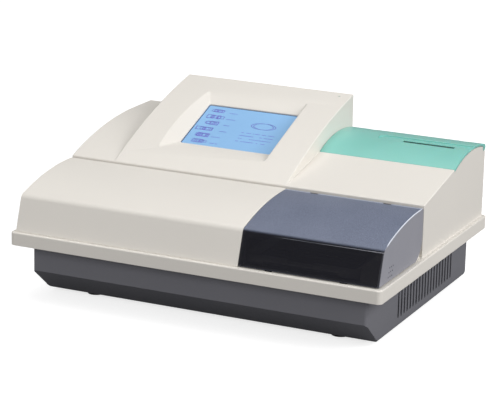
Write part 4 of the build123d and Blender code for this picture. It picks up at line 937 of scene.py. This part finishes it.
# %% Backdrop
class Backdrop(Tree):
    """A world's or floor's tree, which looks white but lights the object softly."""

    def __init__(self, owner):
        owner.use_nodes = True
        self.tree = owner.node_tree
        self.tree.nodes.clear()

    def shown(self, output, plain, white):
        """Shows the white shader to the camera, and the plain one to other rays."""
        rays = self.add("ShaderNodeLightPath")
        seen = self.maths("MAXIMUM", rays["Is Camera Ray"], rays["Is Transmission Ray"])
        mixed = self.add("ShaderNodeMixShader", {}, {0: seen, 1: plain, 2: white})["Shader"]
        self.add(output, {}, {"Surface": mixed})


world_light = 0.3
world = bpy.data.worlds.new("studio")
bpy.context.scene.world = world
sky = Backdrop(world)
sky_soft = sky.add("ShaderNodeBackground", {}, {"Color": (1, 1, 1), "Strength": world_light})
sky_white = sky.add("ShaderNodeBackground", {}, {"Color": (1, 1, 1), "Strength": 1.0})
sky.shown("ShaderNodeOutputWorld", sky_soft["Background"], sky_white["Background"])
print("the world lights the object at", world_light)

# %% [markdown]
# ## The floor
#
# The reader stands on a plain white floor that keeps its soft shadow. Pure
# emission would hide the shadow, so what the camera sees is part glow and part
# matte white. To the object, the floor is a dull matte that throws only a little
# light back.

# %% Floor
reach = 6.0
floor_color = (0.21, 0.21, 0.215)
floor_glow = 0.74
shadow_color = (0.55, 0.55, 0.55)
corners = [(-reach, -reach, 0), (reach, -reach, 0), (reach, reach, 0), (-reach, reach, 0)]
floor_mesh = bpy.data.meshes.new("floor")
floor_mesh.from_pydata(corners, [], [(0, 1, 2, 3)])
floor = bpy.data.objects.new("floor", floor_mesh)
bpy.context.scene.collection.objects.link(floor)
floor_finish = bpy.data.materials.new("floor_white")
ground = Backdrop(floor_finish)
dull = ground.add("ShaderNodeBsdfDiffuse", {}, {"Color": floor_color})["BSDF"]
glow = ground.add("ShaderNodeEmission", {}, {"Strength": floor_glow})["Emission"]
shadowed = ground.add("ShaderNodeBsdfDiffuse", {}, {"Color": shadow_color})["BSDF"]
both = ground.add("ShaderNodeAddShader", {}, {0: glow, 1: shadowed})["Shader"]
ground.shown("ShaderNodeOutputMaterial", dull, both)
floor_mesh.materials.append(floor_finish)
print("the floor is", 2 * reach, "m square")

# %% [markdown]
# ## The lamps
#
# One large lamp on the right is the main light: it makes the right side and the
# tops brighter than the front, as in the photograph. One overhead and one in front
# fill the shadows. The front lamp is kept out of reflections, because the polished
# front of the lid would show it as a white square.

# %% Lamps
lamp_aim = Vector((0, 0, 0.1))


def softbox(name, place, size, power):
    """A square lamp at a place, turned to face the reader."""
    data = bpy.data.lights.new(name, "AREA")
    data.shape = "SQUARE"
    data.size = size
    data.energy = power
    lamp = bpy.data.objects.new(name, data)
    lamp.location = place
    lamp.rotation_euler = (lamp_aim - Vector(place)).to_track_quat("-Z", "Y").to_euler()
    bpy.context.scene.collection.objects.link(lamp)
    print(name, "lamp of", power, "W")
    return lamp


softbox("key", (2.2, -0.1, 1.3), 1.4, 42)
softbox("overhead", (-0.3, 0.2, 2.4), 1.6, 19)
front = softbox("front", (-0.6, -2.4, 1.2), 1.6, 24)
front.visible_glossy = False

# %% [markdown]
